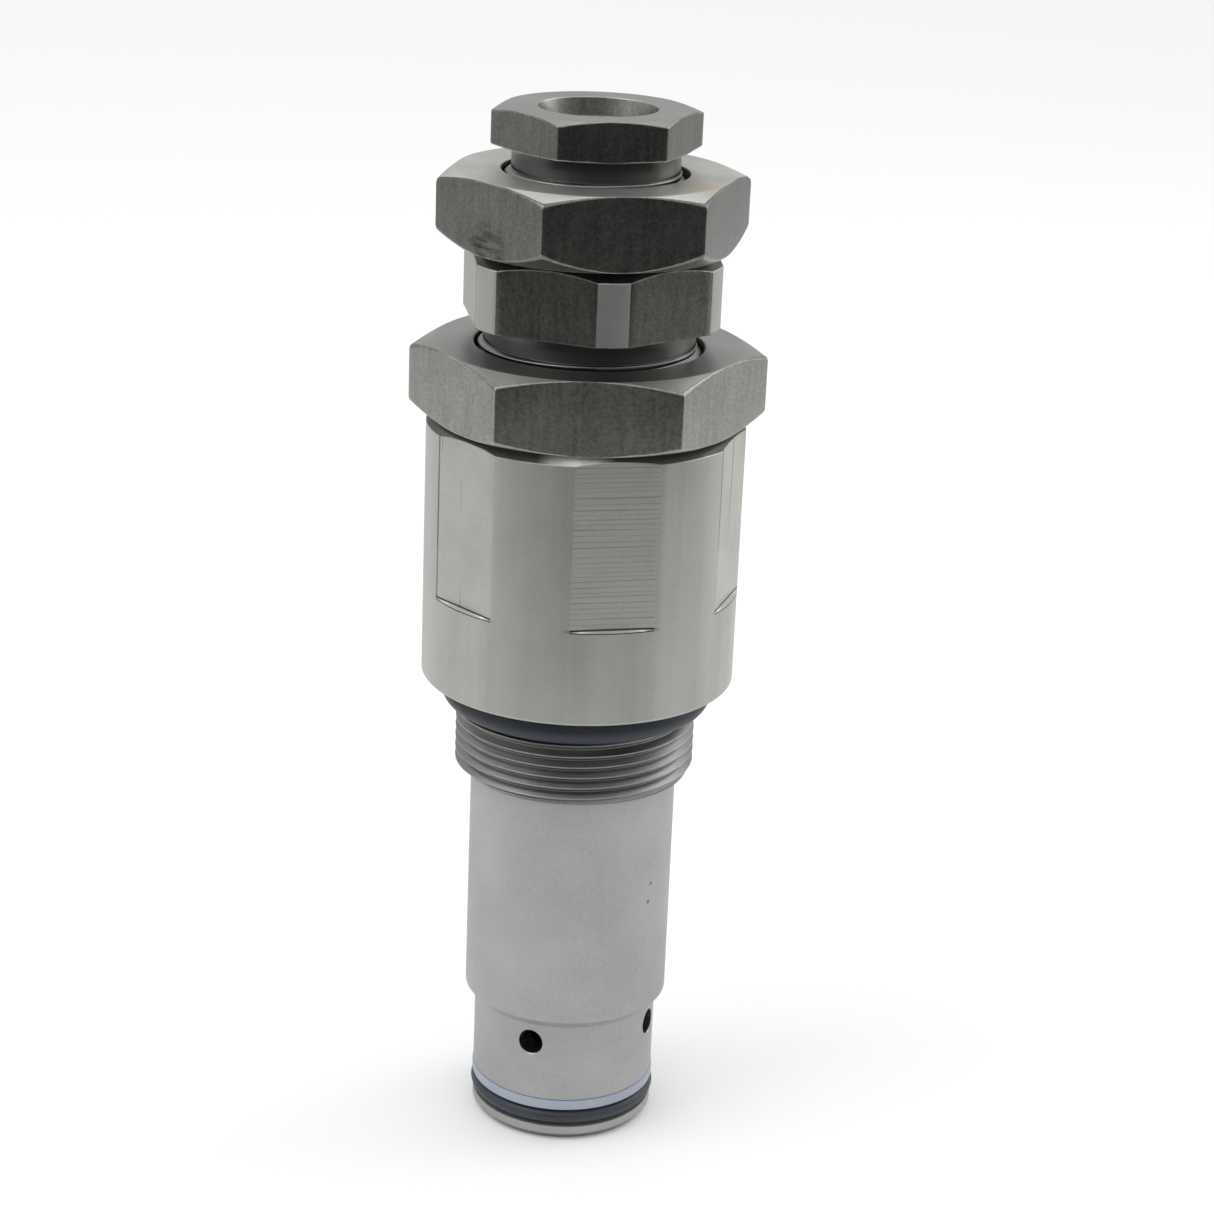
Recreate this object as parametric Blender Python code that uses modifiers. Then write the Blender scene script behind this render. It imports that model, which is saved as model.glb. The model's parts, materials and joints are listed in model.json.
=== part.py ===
"""Two-stage pilot-operated pressure relief valve, a screw-in hydraulic cartridge, built piece by piece.

Frame: metres, +Z up along the valve's axis, origin at the centre of the nose's end face.
A wrench flat of the body faces -Y. Dimensions below are millimetres, and levels are heights above the nose end.
"""

import math

import bmesh
import bpy
from mathutils import Matrix

MM = 0.001
TURN = 2 * math.pi
ASSEMBLY = "pressure_relief_valve"

# Fineness of the round surfaces, in segments per turn.
COARSE, MEDIUM, FINE = 16, 24, 28
CORD_SEGMENTS, COIL_POINTS_PER_TURN = 8, 10
CROSS_HOLE_SEGMENTS = 12

SHARP_ANGLE = math.radians(30)

# Cutters reach well past the piece they cut.
BAR_LENGTH, DRILL_LENGTH = 120.0, 40.0

# Working clearances.
THREAD_GAP = 0.15  # radial, male thread to female thread
SLIDE_GAP = 0.10  # radial, sliding piece to its bore
SEAL_GAP = 0.1  # a seal to each wall it bears on
REST_GAP = 0.05  # between two faces that touch

# Wrench sizes, across flats.
PLUG_HEX, PLUG_NUT_HEX, ADJUSTER_HEX, ADJUSTER_NUT_HEX, BODY_HEX = 24.0, 36.0, 32.0, 41.0, 41.0

# Clocking of each hexagon from the body's flats, and of the cross holes, in degrees.
PLUG_CLOCK, PLUG_NUT_CLOCK, ADJUSTER_CLOCK, ADJUSTER_NUT_CLOCK = -2.7, 0.0, -32.7, -11.4
HOLE_CLOCK = -32.7

# Levels of the main faces, from the nose up.
SEAT_LEVEL = 9.2  # lower edge of the main seat
CROSS_HOLE_LEVEL = 14.85
STEP_LEVEL = 17.7  # foot of the sleeve's step
SLEEVE_SHOULDER = 52.5
BODY_FOOT = SLEEVE_SHOULDER + REST_GAP
UNDERCUT_FOOT = 61.0
BODY_SHOULDER = 66.0
BODY_STEP = 70.1  # the ledge that the pilot seat is clamped against
FLAT_FOOT = 79.0
SEAL_BORE_FOOT = 80.0
BODY_TOP = 102.1
ADJUSTER_NUT_TOP = 112.0
ADJUSTER_HEX_FOOT = 115.6
ADJUSTER_TOP = 125.2
PLUG_NUT_TOP = 134.8
PLUG_HEX_FOOT = 137.8
PLUG_TOP = 142.9

# Levels of the inner pieces.
FILTER_FOOT = 13.45
SNAP_RING_LEVEL = 12.85
JET_FOOT = 19.05
MAIN_SPRING_FOOT, MAIN_SPRING_TOP = 24.0, 61.9
POPPET_TOP = 46.5
PILOT_SEAT_FOOT, PILOT_SEAT_FLANGE_FOOT = 50.0, 61.0
PILOT_TIP = 67.95
PILOT_SPRING_FOOT, PILOT_SPRING_TOP = 75.05, 95.55
PISTON_LEDGE = 95.9  # leaves room for the stroke with the plug screwed a full turn in
PISTON_FOOT, PISTON_HEAD_FOOT = 97.45, 99.0
PISTON_BORE_TOP = 104.0
PLUG_FOOT = 105.6

# Radii of the outside.
NOSE_R = 12.75
SLEEVE_R = 14.15
MOUNT_THREAD_R, MOUNT_THREAD_PITCH, MOUNT_THREAD_DEPTH = 16.4, 1.5, 0.9  # M33 x 1.5
UNDERCUT_R = 14.7
BODY_R = 21.25
ADJUSTER_R = 17.4  # the corners of the adjuster's hexagon, turned down
ADJUSTER_THREAD_R = 14.95  # M30 x 1.5
PLUG_THREAD_R = 11.95  # M24 x 1.5
SPIGOT_THREAD_R = 10.9  # M22 x 1.5

# Radii of the bores and of the pieces that fit them.
INLET_R = 6.5
OUTLET_CHAMBER_R = 9.2
CROSS_HOLE_R = 1.75
GUIDE_R = 8.5
MAIN_SPRING_POCKET_R = 6.1
JET_R = 2.4
FILTER_R = 3.5
SNAP_GROOVE_R = 4.2
PILOT_SEAT_BORE_R = 10.0
PILOT_BORE_R, PILOT_SEAT_WIDTH = 1.6, 0.7
SPRING_CHAMBER_R = 7.2
ADJUSTER_SEAL_R = 13.0
PLUG_SEAL_R = 10.6
PISTON_BORE_R = 8.1
PORT_MOUTH_R, PORT_R = 7.82, 5.9  # G 1/4 port with a conical O-ring seat

# Seal grooves: the level of the foot and of the top, and the radius of the floor.
NOSE_GROOVE, NOSE_GROOVE_R = (2.1, 6.3), 10.9
PILOT_SEAT_GROOVE, PILOT_SEAT_GROOVE_R = (63.4, 66.7), 7.9
ADJUSTER_GROOVE, ADJUSTER_GROOVE_R = (85.9, 88.6), 11.0
PISTON_GROOVE, PISTON_GROOVE_R = (99.9, 102.2), 6.3
PLUG_GROOVE, PLUG_GROOVE_R = (106.7, 109.1), 8.7

STEEL = ("machined_steel", (0.56, 0.56, 0.54), 0.32, 1.0)
GROUND_STEEL = ("ground_steel", (0.62, 0.62, 0.63), 0.38, 1.0)
HARD_STEEL = ("hardened_steel", (0.42, 0.42, 0.43), 0.25, 1.0)
SPRING_STEEL = ("spring_steel", (0.30, 0.30, 0.32), 0.35, 1.0)
RUBBER = ("nitrile_rubber", (0.02, 0.02, 0.025), 0.5, 0.0)
PTFE = ("ptfe", (0.72, 0.78, 0.86), 0.45, 0.0)
BRASS = ("brass_gauze", (0.70, 0.55, 0.28), 0.45, 1.0)


def clear_scene():
    for obj in list(bpy.data.objects):
        bpy.data.objects.remove(obj, do_unlink=True)


def collection(name):
    made = bpy.data.collections.new(name)
    bpy.context.scene.collection.children.link(made)
    return made


def material(spec):
    name, colour, roughness, metallic = spec
    made = bpy.data.materials.get(name)
    if made is None:
        made = bpy.data.materials.new(name)
        made.use_nodes = True
        shader = made.node_tree.nodes["Principled BSDF"]
        shader.inputs["Base Color"].default_value = (*colour, 1.0)
        shader.inputs["Roughness"].default_value = roughness
        shader.inputs["Metallic"].default_value = metallic
        made.diffuse_color = (*colour, 1.0)
    return made


def group(name, level, parent=None):
    """An empty on the axis that carries the pieces which move together."""
    empty = bpy.data.objects.new(name, None)
    empty.empty_display_size = 20 * MM
    bpy.data.collections[ASSEMBLY].objects.link(empty)
    empty.location.z = level * MM
    if parent:
        empty.parent = parent
        empty.location.z -= parent.matrix_world.translation.z
    bpy.context.view_layer.update()
    return empty


def finish_piece(obj, spec, carrier, level, clock=0.0):
    """Puts a piece on its carrier, with its origin on the axis at its own level."""
    obj.data.materials.append(material(spec))
    obj.parent = carrier
    obj.location.z = level * MM - carrier.matrix_world.translation.z
    obj.rotation_euler.z = math.radians(clock)
    return obj


def new_object(name, data, where=ASSEMBLY):
    obj = bpy.data.objects.new(name, data)
    bpy.data.collections[where].objects.link(obj)
    return obj


def turn_by_screw(obj, segments):
    screw = obj.modifiers.new("turning", "SCREW")
    screw.steps = screw.render_steps = segments
    screw.use_merge_vertices = True
    screw.merge_threshold = 0.00001
    return obj


def turned(name, profile, level, segments):
    """A turned piece: the (radius, level) profile runs down its outer side and closes on itself.

    A profile that starts and ends at radius 0 is left open, because the axis closes it.
    """
    mesh = bpy.data.meshes.new(name)
    points = [(radius * MM, 0.0, (height - level) * MM) for radius, height in profile]
    edges = [(i, i + 1) for i in range(len(points) - 1)]
    if profile[0][0] > 0:
        edges.append((len(points) - 1, 0))
    mesh.from_pydata(points, edges, [])
    return turn_by_screw(new_object(name, mesh), segments)


def cutter_from(name, bm):
    bmesh.ops.recalc_face_normals(bm, faces=bm.faces)
    mesh = bpy.data.meshes.new(name)
    bm.to_mesh(mesh)
    bm.free()
    obj = new_object(name, mesh, "cutters")
    obj.hide_render = True
    obj.display_type = "WIRE"
    return obj


def rod(bm, radius, length, matrix, segments):
    """Adds a prism or cylinder of this length, centred on the matrix's origin, along its Z axis."""
    bmesh.ops.create_cone(
        bm,
        cap_ends=True,
        segments=segments,
        radius1=radius * MM,
        radius2=radius * MM,
        depth=length * MM,
        matrix=matrix,
    )


def combine(obj, cutter, operation):
    """Cuts or trims obj by a cutter that shares its place and clocking."""
    cutter.parent = obj
    modifier = obj.modifiers.new(cutter.name, "BOOLEAN")
    modifier.operation = operation
    modifier.solver = "EXACT"
    modifier.object = cutter


def trim_to_hexagon(obj, across_flats):
    """Leaves only what lies inside a long hexagonal bar, with a flat facing -Y before clocking."""
    bm = bmesh.new()
    # create_cone puts a corner on the Y axis, so a twelfth of a turn brings a flat there.
    rod(bm, across_flats / math.sqrt(3), BAR_LENGTH, Matrix.Rotation(math.pi / 6, 4, "Z"), 6)
    combine(obj, cutter_from(obj.name + "_bar", bm), "INTERSECT")


def mill_flats(obj, across_flats, foot, head):
    """Mills six flats between two heights above the piece's own level, with one facing -Y."""
    bm = bmesh.new()
    depth, width = 6.0, 16.0
    for side in range(6):
        place = (
            Matrix.Rotation(TURN * side / 6, 4, "Z")
            @ Matrix.Translation((0, -(across_flats + depth) / 2 * MM, (foot + head) / 2 * MM))
            @ Matrix.Diagonal((width * MM, depth * MM, (head - foot) * MM, 1))
        )
        bmesh.ops.create_cube(bm, size=1.0, matrix=place)
    combine(obj, cutter_from(obj.name + "_flats", bm), "DIFFERENCE")


def drill_across(obj, radius, height, angle):
    """Drills a hole right through both walls, square to the axis."""
    bm = bmesh.new()
    place = (
        Matrix.Translation((0, 0, height * MM))
        @ Matrix.Rotation(math.radians(angle), 4, "Z")
        @ Matrix.Rotation(math.pi / 2, 4, "X")
    )
    rod(bm, radius, DRILL_LENGTH, place, CROSS_HOLE_SEGMENTS)
    combine(obj, cutter_from(f"{obj.name}_cross_hole_{angle:.0f}", bm), "DIFFERENCE")


def cut_thread(obj, crest_radius, depth, pitch, foot, head, segments):
    """Cuts a right-hand 60 degree V thread with a helical tool, from foot to head on the piece."""
    bm = bmesh.new()
    root_half_width, overcut = 0.1, 0.1
    root = crest_radius - depth
    top_half_width = root_half_width + (depth + overcut) * math.tan(math.radians(30))
    section = (
        (root, -root_half_width),
        (crest_radius + overcut, -top_half_width),
        (crest_radius + overcut, top_half_width),
        (root, root_half_width),
    )
    face = bm.faces.new([bm.verts.new((r * MM, 0.0, (foot + z) * MM)) for r, z in section])
    # Half a segment's lead keeps the tool's edges off the edges of the turned surface.
    bmesh.ops.rotate(bm, verts=bm.verts, matrix=Matrix.Rotation(math.pi / segments, 3, "Z"))
    steps = round((head - foot) / pitch * segments)
    bmesh.ops.spin(
        bm,
        geom=[face, *face.edges, *face.verts],
        cent=(0, 0, 0),
        axis=(0, 0, 1),
        dvec=(0, 0, pitch / segments * MM),
        angle=TURN * steps / segments,
        steps=steps,
    )
    combine(obj, cutter_from(obj.name + "_thread", bm), "DIFFERENCE")


def rectangle(inner, outer, foot, top):
    """The profile of a plain ring, such as a back-up ring."""
    return [(inner, top), (outer, top), (outer, foot), (inner, foot)]


def oring(name, floor_radius, wall_radius, segments):
    """An O-ring centred on its own origin, a seal gap clear of its groove's floor and of the wall outside it."""
    cord_radius = (wall_radius - floor_radius) / 2 - SEAL_GAP
    bm = bmesh.new()
    bmesh.ops.create_circle(bm, segments=CORD_SEGMENTS, radius=cord_radius * MM)
    centre = Matrix.Translation(((wall_radius + floor_radius) / 2 * MM, 0, 0))
    bmesh.ops.transform(bm, verts=bm.verts, matrix=centre @ Matrix.Rotation(math.pi / 2, 4, "X"))
    mesh = bpy.data.meshes.new(name)
    bm.to_mesh(mesh)
    bm.free()
    return turn_by_screw(new_object(name, mesh), segments)


def bent_wire(name, path, radius):
    """A round wire along a path of points in millimetres."""
    curve = bpy.data.curves.new(name, "CURVE")
    curve.dimensions = "3D"
    curve.bevel_depth = radius * MM
    curve.bevel_resolution = 2
    curve.use_fill_caps = True
    spline = curve.splines.new("POLY")
    spline.points.add(len(path) - 1)
    for point, place in zip(spline.points, path):
        point.co = (*(value * MM for value in place), 1.0)
    return new_object(name, curve)


def coil_spring(name, mean_radius, wire_radius, length, coils):
    """A compression spring with a dead coil at each end, standing on its own origin."""
    live = coils - 2.0
    closed_pitch = 2.05 * wire_radius
    live_pitch = (length - 2 * wire_radius - 2 * closed_pitch) / live

    def height(turns):
        lower_dead = min(turns, 1.0) * closed_pitch
        middle = min(max(turns - 1.0, 0.0), live) * live_pitch
        upper_dead = max(turns - 1.0 - live, 0.0) * closed_pitch
        return wire_radius + lower_dead + middle + upper_dead

    path = []
    for i in range(round(coils * COIL_POINTS_PER_TURN) + 1):
        turns = i / COIL_POINTS_PER_TURN
        path.append(
            (
                mean_radius * math.cos(TURN * turns),
                mean_radius * math.sin(TURN * turns),
                height(turns),
            )
        )
    return bent_wire(name, path, wire_radius)


# ---- the fixed pieces -------------------------------------------------------------------------------------


def valve_body(carrier):
    """The housing: mounting thread and shoulder below, six wrench flats, the adjuster's thread at its top."""
    thread_r = ADJUSTER_THREAD_R + THREAD_GAP
    seal_bore_top, thread_foot, sink = 91.4, 92.0, 0.9
    recess_r, recess = 18.7, 0.3  # clears the O-ring
    top_face_r, top_chamfer, edge_break, foot_chamfer = 19.5, 1.0, 0.3, 0.7
    spigot_bore_r, spigot_bore_top, seat_bore_foot = SPIGOT_THREAD_R + THREAD_GAP, 61.2, 62.0
    cutter_run_out = 1.0
    profile = [
        (thread_r + sink, BODY_TOP),
        (top_face_r, BODY_TOP),
        (BODY_R, BODY_TOP - top_chamfer),
        (BODY_R, BODY_SHOULDER + edge_break),
        (BODY_R - edge_break, BODY_SHOULDER),
        (recess_r, BODY_SHOULDER),
        (recess_r, BODY_SHOULDER + recess),
        (UNDERCUT_R, BODY_SHOULDER + recess),
        (UNDERCUT_R, UNDERCUT_FOOT + MOUNT_THREAD_DEPTH),
        (MOUNT_THREAD_R, UNDERCUT_FOOT),
        (MOUNT_THREAD_R, BODY_FOOT + foot_chamfer),
        (MOUNT_THREAD_R - foot_chamfer, BODY_FOOT),
        (spigot_bore_r, BODY_FOOT),
        (spigot_bore_r, spigot_bore_top),
        (PILOT_SEAT_BORE_R, seat_bore_foot),
        (PILOT_SEAT_BORE_R, BODY_STEP),
        (SPRING_CHAMBER_R, BODY_STEP),
        (SPRING_CHAMBER_R, SEAL_BORE_FOOT),
        (ADJUSTER_SEAL_R, SEAL_BORE_FOOT),
        (ADJUSTER_SEAL_R, seal_bore_top),
        (thread_r, thread_foot),
        (thread_r, BODY_TOP - sink),
    ]
    body = turned("valve_body", profile, BODY_SHOULDER, FINE)
    mill_flats(body, BODY_HEX, FLAT_FOOT - BODY_SHOULDER, BODY_TOP - BODY_SHOULDER + cutter_run_out)
    cut_thread(
        body,
        MOUNT_THREAD_R,
        MOUNT_THREAD_DEPTH,
        MOUNT_THREAD_PITCH,
        foot=BODY_FOOT - BODY_SHOULDER - MOUNT_THREAD_PITCH / 2,
        head=UNDERCUT_FOOT - BODY_SHOULDER + cutter_run_out,
        segments=FINE,
    )
    return finish_piece(body, STEEL, carrier, BODY_SHOULDER)


def main_sleeve(carrier):
    """The sleeve that screws up into the body: inlet and main seat at its nose, cross holes for the outlet."""
    groove_foot, groove_top = NOSE_GROOVE
    spigot_top, edge_break, nose_chamfer, seat_width = 60.95, 0.5, 0.8, 0.8
    profile = [
        (GUIDE_R, spigot_top),
        (SPIGOT_THREAD_R - edge_break, spigot_top),
        (SPIGOT_THREAD_R, spigot_top - edge_break),
        (SPIGOT_THREAD_R, SLEEVE_SHOULDER),
        (SLEEVE_R - edge_break, SLEEVE_SHOULDER),
        (SLEEVE_R, SLEEVE_SHOULDER - edge_break),
        (SLEEVE_R, STEP_LEVEL + SLEEVE_R - NOSE_R),
        (NOSE_R, STEP_LEVEL),
        (NOSE_R, groove_top),
        (NOSE_GROOVE_R, groove_top),
        (NOSE_GROOVE_R, groove_foot),
        (NOSE_R, groove_foot),
        (NOSE_R, nose_chamfer),
        (NOSE_R - nose_chamfer, 0.0),
        (INLET_R + edge_break, 0.0),
        (INLET_R, edge_break),
        (INLET_R, SEAT_LEVEL),
        (INLET_R + seat_width, SEAT_LEVEL + seat_width),
        (OUTLET_CHAMBER_R, SEAT_LEVEL + seat_width),
        (OUTLET_CHAMBER_R, STEP_LEVEL),
        (GUIDE_R, STEP_LEVEL + OUTLET_CHAMBER_R - GUIDE_R),
    ]
    sleeve = turned("main_sleeve", profile, SLEEVE_SHOULDER, FINE)
    for angle in (0, 90):
        drill_across(sleeve, CROSS_HOLE_R, CROSS_HOLE_LEVEL - SLEEVE_SHOULDER, angle)
    return finish_piece(sleeve, GROUND_STEEL, carrier, SLEEVE_SHOULDER, HOLE_CLOCK)


def pilot_seat(carrier):
    """The hardened seat clamped between the sleeve and the body, with the pilot orifice through it."""
    groove_foot, groove_top = PILOT_SEAT_GROOVE
    top = BODY_STEP - REST_GAP
    flange_r = PILOT_SEAT_BORE_R - SLIDE_GAP
    skirt_r, recess_top = GUIDE_R - SLIDE_GAP, MAIN_SPRING_TOP + REST_GAP
    profile = [
        (PILOT_BORE_R + PILOT_SEAT_WIDTH, top),
        (flange_r, top),
        (flange_r, groove_top),
        (PILOT_SEAT_GROOVE_R, groove_top),
        (PILOT_SEAT_GROOVE_R, groove_foot),
        (flange_r, groove_foot),
        (flange_r, PILOT_SEAT_FLANGE_FOOT),
        (skirt_r, PILOT_SEAT_FLANGE_FOOT),
        (skirt_r, PILOT_SEAT_FOOT),
        (MAIN_SPRING_POCKET_R, PILOT_SEAT_FOOT),
        (MAIN_SPRING_POCKET_R, recess_top),
        (PILOT_BORE_R, recess_top),
        (PILOT_BORE_R, top - PILOT_SEAT_WIDTH),
    ]
    seat = turned("pilot_seat", profile, PILOT_SEAT_FLANGE_FOOT, MEDIUM)
    return finish_piece(seat, HARD_STEEL, carrier, PILOT_SEAT_FLANGE_FOOT)


def pilot_seat_seals(carrier):
    """The O-ring round the pilot seat, with its back-up ring above it."""
    foot, top = PILOT_SEAT_GROOVE
    backup_foot = top - 1.1
    seal = oring("pilot_seat_oring", PILOT_SEAT_GROOVE_R, PILOT_SEAT_BORE_R, MEDIUM)
    finish_piece(seal, RUBBER, carrier, (foot + backup_foot) / 2)
    backup = turned(
        "pilot_seat_backup_ring",
        rectangle(
            PILOT_SEAT_GROOVE_R + SEAL_GAP, PILOT_SEAT_BORE_R - SEAL_GAP, backup_foot, top - REST_GAP
        ),
        backup_foot,
        MEDIUM,
    )
    finish_piece(backup, PTFE, carrier, backup_foot)


def body_oring(carrier):
    """The seal for the mounting shoulder, loose on the undercut above the thread."""
    cord, fit, level = 3.5, 0.15, 63.6
    floor = UNDERCUT_R + fit
    seal = oring("body_oring", floor, floor + cord + 2 * SEAL_GAP, FINE)
    return finish_piece(seal, RUBBER, carrier, level)


def nose_seals(carrier):
    """The nose O-ring, with its back-up ring on the low-pressure side above it."""
    foot, top = NOSE_GROOVE
    backup_foot, squeeze = top - 1.5, 0.25
    outer = NOSE_R + squeeze
    seal = oring("nose_oring", NOSE_GROOVE_R, outer + SEAL_GAP, FINE)
    finish_piece(seal, RUBBER, carrier, (foot + backup_foot) / 2)
    backup = turned(
        "nose_backup_ring",
        rectangle(NOSE_GROOVE_R + SEAL_GAP, NOSE_R + squeeze / 2, backup_foot, top - REST_GAP),
        backup_foot,
        FINE,
    )
    finish_piece(backup, PTFE, carrier, backup_foot)


# ---- the main stage ---------------------------------------------------------------------------------------


def main_poppet(carrier):
    """The hollow main poppet: cone on the main seat below, spring pocket above, the jet's seat between."""
    guide_r, neck_r, lip_r, lip_height = GUIDE_R - SLIDE_GAP, 6.4, 7.6, 0.8
    guide_foot, neck_top, edge_break = STEP_LEVEL + 0.9, STEP_LEVEL - 1.1, 0.4
    cone_gap, mouth_r, jet_hole_r, jet_bore_r = 0.15, 5.2, 1.2, JET_R + SLIDE_GAP
    cone_top = SEAT_LEVEL + lip_r - INLET_R + cone_gap
    foot = cone_top - (lip_r - mouth_r)
    groove_foot, groove_top = 12.35, FILTER_FOOT - SLIDE_GAP
    filter_bore_r, filter_bore_top, jet_hole_foot = FILTER_R + SLIDE_GAP, 15.65, 16.65
    pocket_floor = MAIN_SPRING_FOOT - REST_GAP
    profile = [
        (MAIN_SPRING_POCKET_R, POPPET_TOP),
        (guide_r - edge_break, POPPET_TOP),
        (guide_r, POPPET_TOP - edge_break),
        (guide_r, guide_foot),
        (neck_r, neck_top),
        (neck_r, cone_top + lip_height + lip_r - neck_r),
        (lip_r, cone_top + lip_height),
        (lip_r, cone_top),
        (mouth_r, foot),
        (filter_bore_r, foot),
        (filter_bore_r, groove_foot),
        (SNAP_GROOVE_R, groove_foot),
        (SNAP_GROOVE_R, groove_top),
        (filter_bore_r, groove_top),
        (filter_bore_r, filter_bore_top),
        (jet_hole_r, jet_hole_foot),
        (jet_hole_r, JET_FOOT - REST_GAP),
        (jet_bore_r, JET_FOOT - REST_GAP),
        (jet_bore_r, pocket_floor),
        (MAIN_SPRING_POCKET_R, pocket_floor),
    ]
    poppet = turned("main_poppet", profile, SEAT_LEVEL, MEDIUM)
    return finish_piece(poppet, HARD_STEEL, carrier, SEAT_LEVEL)


def orifice_jet(carrier):
    """The slotted jet that meters oil into the chamber behind the main poppet."""
    top, hole_r, edge_break, slot_width, slot_depth = 23.6, 0.5, 0.4, 0.8, 1.0
    profile = [
        (hole_r, top),
        (JET_R, top),
        (JET_R, JET_FOOT + edge_break),
        (JET_R - edge_break, JET_FOOT),
        (hole_r, JET_FOOT),
    ]
    jet = turned("orifice_jet", profile, JET_FOOT, COARSE)
    bm = bmesh.new()
    place = Matrix.Translation((0, 0, (top - JET_FOOT) * MM))
    size = Matrix.Diagonal((3 * JET_R * MM, slot_width * MM, 2 * slot_depth * MM, 1))
    bmesh.ops.create_cube(bm, size=1.0, matrix=place @ size)
    combine(jet, cutter_from("orifice_jet_slot", bm), "DIFFERENCE")
    return finish_piece(jet, BRASS, carrier, JET_FOOT)


def orifice_filter(carrier):
    """The gauze disc that keeps dirt out of the jet."""
    thickness = 0.9
    top = FILTER_FOOT + thickness
    profile = [(0, top), (FILTER_R, top), (FILTER_R, FILTER_FOOT), (0, FILTER_FOOT)]
    disc = turned("orifice_filter", profile, FILTER_FOOT, COARSE)
    return finish_piece(disc, BRASS, carrier, FILTER_FOOT)


def filter_snap_ring(carrier):
    """The round-wire ring that holds the gauze, open by a tenth of a turn."""
    mean_r, wire_r, points, arc = 3.7, 0.38, 16, 0.9
    turns = [arc * i / points for i in range(points + 1)]
    path = [(mean_r * math.cos(TURN * t), mean_r * math.sin(TURN * t), 0.0) for t in turns]
    snap_ring = bent_wire("filter_snap_ring", path, wire_r)
    return finish_piece(snap_ring, SPRING_STEEL, carrier, SNAP_RING_LEVEL)


def main_spring(carrier):
    """The light spring that holds the main poppet on its seat."""
    length = MAIN_SPRING_TOP - MAIN_SPRING_FOOT
    spring = coil_spring("main_spring", mean_radius=4.9, wire_radius=0.65, length=length, coils=8.5)
    return finish_piece(spring, SPRING_STEEL, carrier, MAIN_SPRING_FOOT)


# ---- the pilot stage --------------------------------------------------------------------------------------


def pilot_poppet(carrier):
    """The pilot cone, with the collar and stem that carry its spring."""
    collar_r, cone_r, stem_r, stem_length, edge_break = 6.3, 3.2, 3.5, 3.0, 0.5
    collar_top, collar_foot = PILOT_SPRING_FOOT - REST_GAP, 73.0
    profile = [
        (0, collar_top + stem_length),
        (stem_r - edge_break, collar_top + stem_length),
        (stem_r, collar_top + stem_length - edge_break),
        (stem_r, collar_top),
        (collar_r, collar_top),
        (collar_r, collar_foot),
        (cone_r, collar_foot),
        (cone_r, PILOT_TIP + cone_r),
        (0, PILOT_TIP),
    ]
    poppet = turned("pilot_poppet", profile, PILOT_TIP, COARSE)
    return finish_piece(poppet, HARD_STEEL, carrier, PILOT_TIP)


def pilot_spring(carrier):
    """The stiff spring that sets the relief pressure."""
    length = PILOT_SPRING_TOP - PILOT_SPRING_FOOT
    spring = coil_spring("pilot_spring", mean_radius=5.05, wire_radius=1.15, length=length, coils=5.5)
    return finish_piece(spring, SPRING_STEEL, carrier, PILOT_SPRING_FOOT)


# ---- the high-pressure adjuster ---------------------------------------------------------------------------


def pressure_adjuster(carrier):
    """The hollow adjuster that screws into the body and houses the piston, with a turned-down hexagon."""
    groove_foot, groove_top = ADJUSTER_GROOVE
    foot, top = 83.8, ADJUSTER_TOP - REST_GAP
    seal_r, neck_r, spring_bore_r = ADJUSTER_SEAL_R - SLIDE_GAP, 14.0, 7.0
    thread_foot, thread_head, run_out = 96.0, 112.4, 1.0
    plug_thread_r = PLUG_THREAD_R + THREAD_GAP
    face_r, top_chamfer, hex_foot_chamfer, sink, edge_break = 14.9, 1.4, 0.5, 0.7, 0.6
    seal_bore_top, plug_thread_foot = 113.6, 114.4
    profile = [
        (plug_thread_r + sink, top),
        (face_r, top),
        (ADJUSTER_R, top - top_chamfer),
        (ADJUSTER_R, ADJUSTER_HEX_FOOT + hex_foot_chamfer),
        (ADJUSTER_R - hex_foot_chamfer, ADJUSTER_HEX_FOOT),
        (neck_r, ADJUSTER_HEX_FOOT),
        (neck_r, thread_head + run_out),
        (ADJUSTER_THREAD_R, thread_head),
        (ADJUSTER_THREAD_R, thread_foot),
        (neck_r, thread_foot - run_out),
        (seal_r, thread_foot - run_out),
        (seal_r, groove_top),
        (ADJUSTER_GROOVE_R, groove_top),
        (ADJUSTER_GROOVE_R, groove_foot),
        (seal_r, groove_foot),
        (seal_r, foot + edge_break),
        (seal_r - edge_break, foot),
        (spring_bore_r, foot),
        (spring_bore_r, PISTON_LEDGE),
        (PISTON_BORE_R, PISTON_LEDGE),
        (PISTON_BORE_R, PISTON_BORE_TOP),
        (PLUG_SEAL_R, PISTON_BORE_TOP),
        (PLUG_SEAL_R, seal_bore_top),
        (plug_thread_r, plug_thread_foot),
        (plug_thread_r, top - sink),
    ]
    adjuster = turned("pressure_adjuster", profile, ADJUSTER_HEX_FOOT, FINE)
    trim_to_hexagon(adjuster, ADJUSTER_HEX)
    return finish_piece(adjuster, STEEL, carrier, ADJUSTER_HEX_FOOT, ADJUSTER_CLOCK)


def adjuster_oring(carrier):
    seal = oring("adjuster_oring", ADJUSTER_GROOVE_R, ADJUSTER_SEAL_R, MEDIUM)
    return finish_piece(seal, RUBBER, carrier, sum(ADJUSTER_GROOVE) / 2)


def hexagon_nut(name, across_flats, thread_radius, foot, top, clock, carrier):
    """A nut chamfered on both faces, with a countersunk thread."""
    corner_r = across_flats / math.sqrt(3)
    face_r = 0.49 * across_flats
    top_fall, foot_fall, sink = 1.4, 2.0, 0.3
    bore = thread_radius + THREAD_GAP
    profile = [
        (bore + sink, top),
        (face_r, top),
        (corner_r, top - top_fall),
        (corner_r, foot + foot_fall),
        (face_r, foot),
        (bore + sink, foot),
        (bore, foot + sink),
        (bore, top - sink),
    ]
    nut = turned(name, profile, foot, FINE)
    trim_to_hexagon(nut, across_flats)
    return finish_piece(nut, STEEL, carrier, foot, clock)


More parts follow.
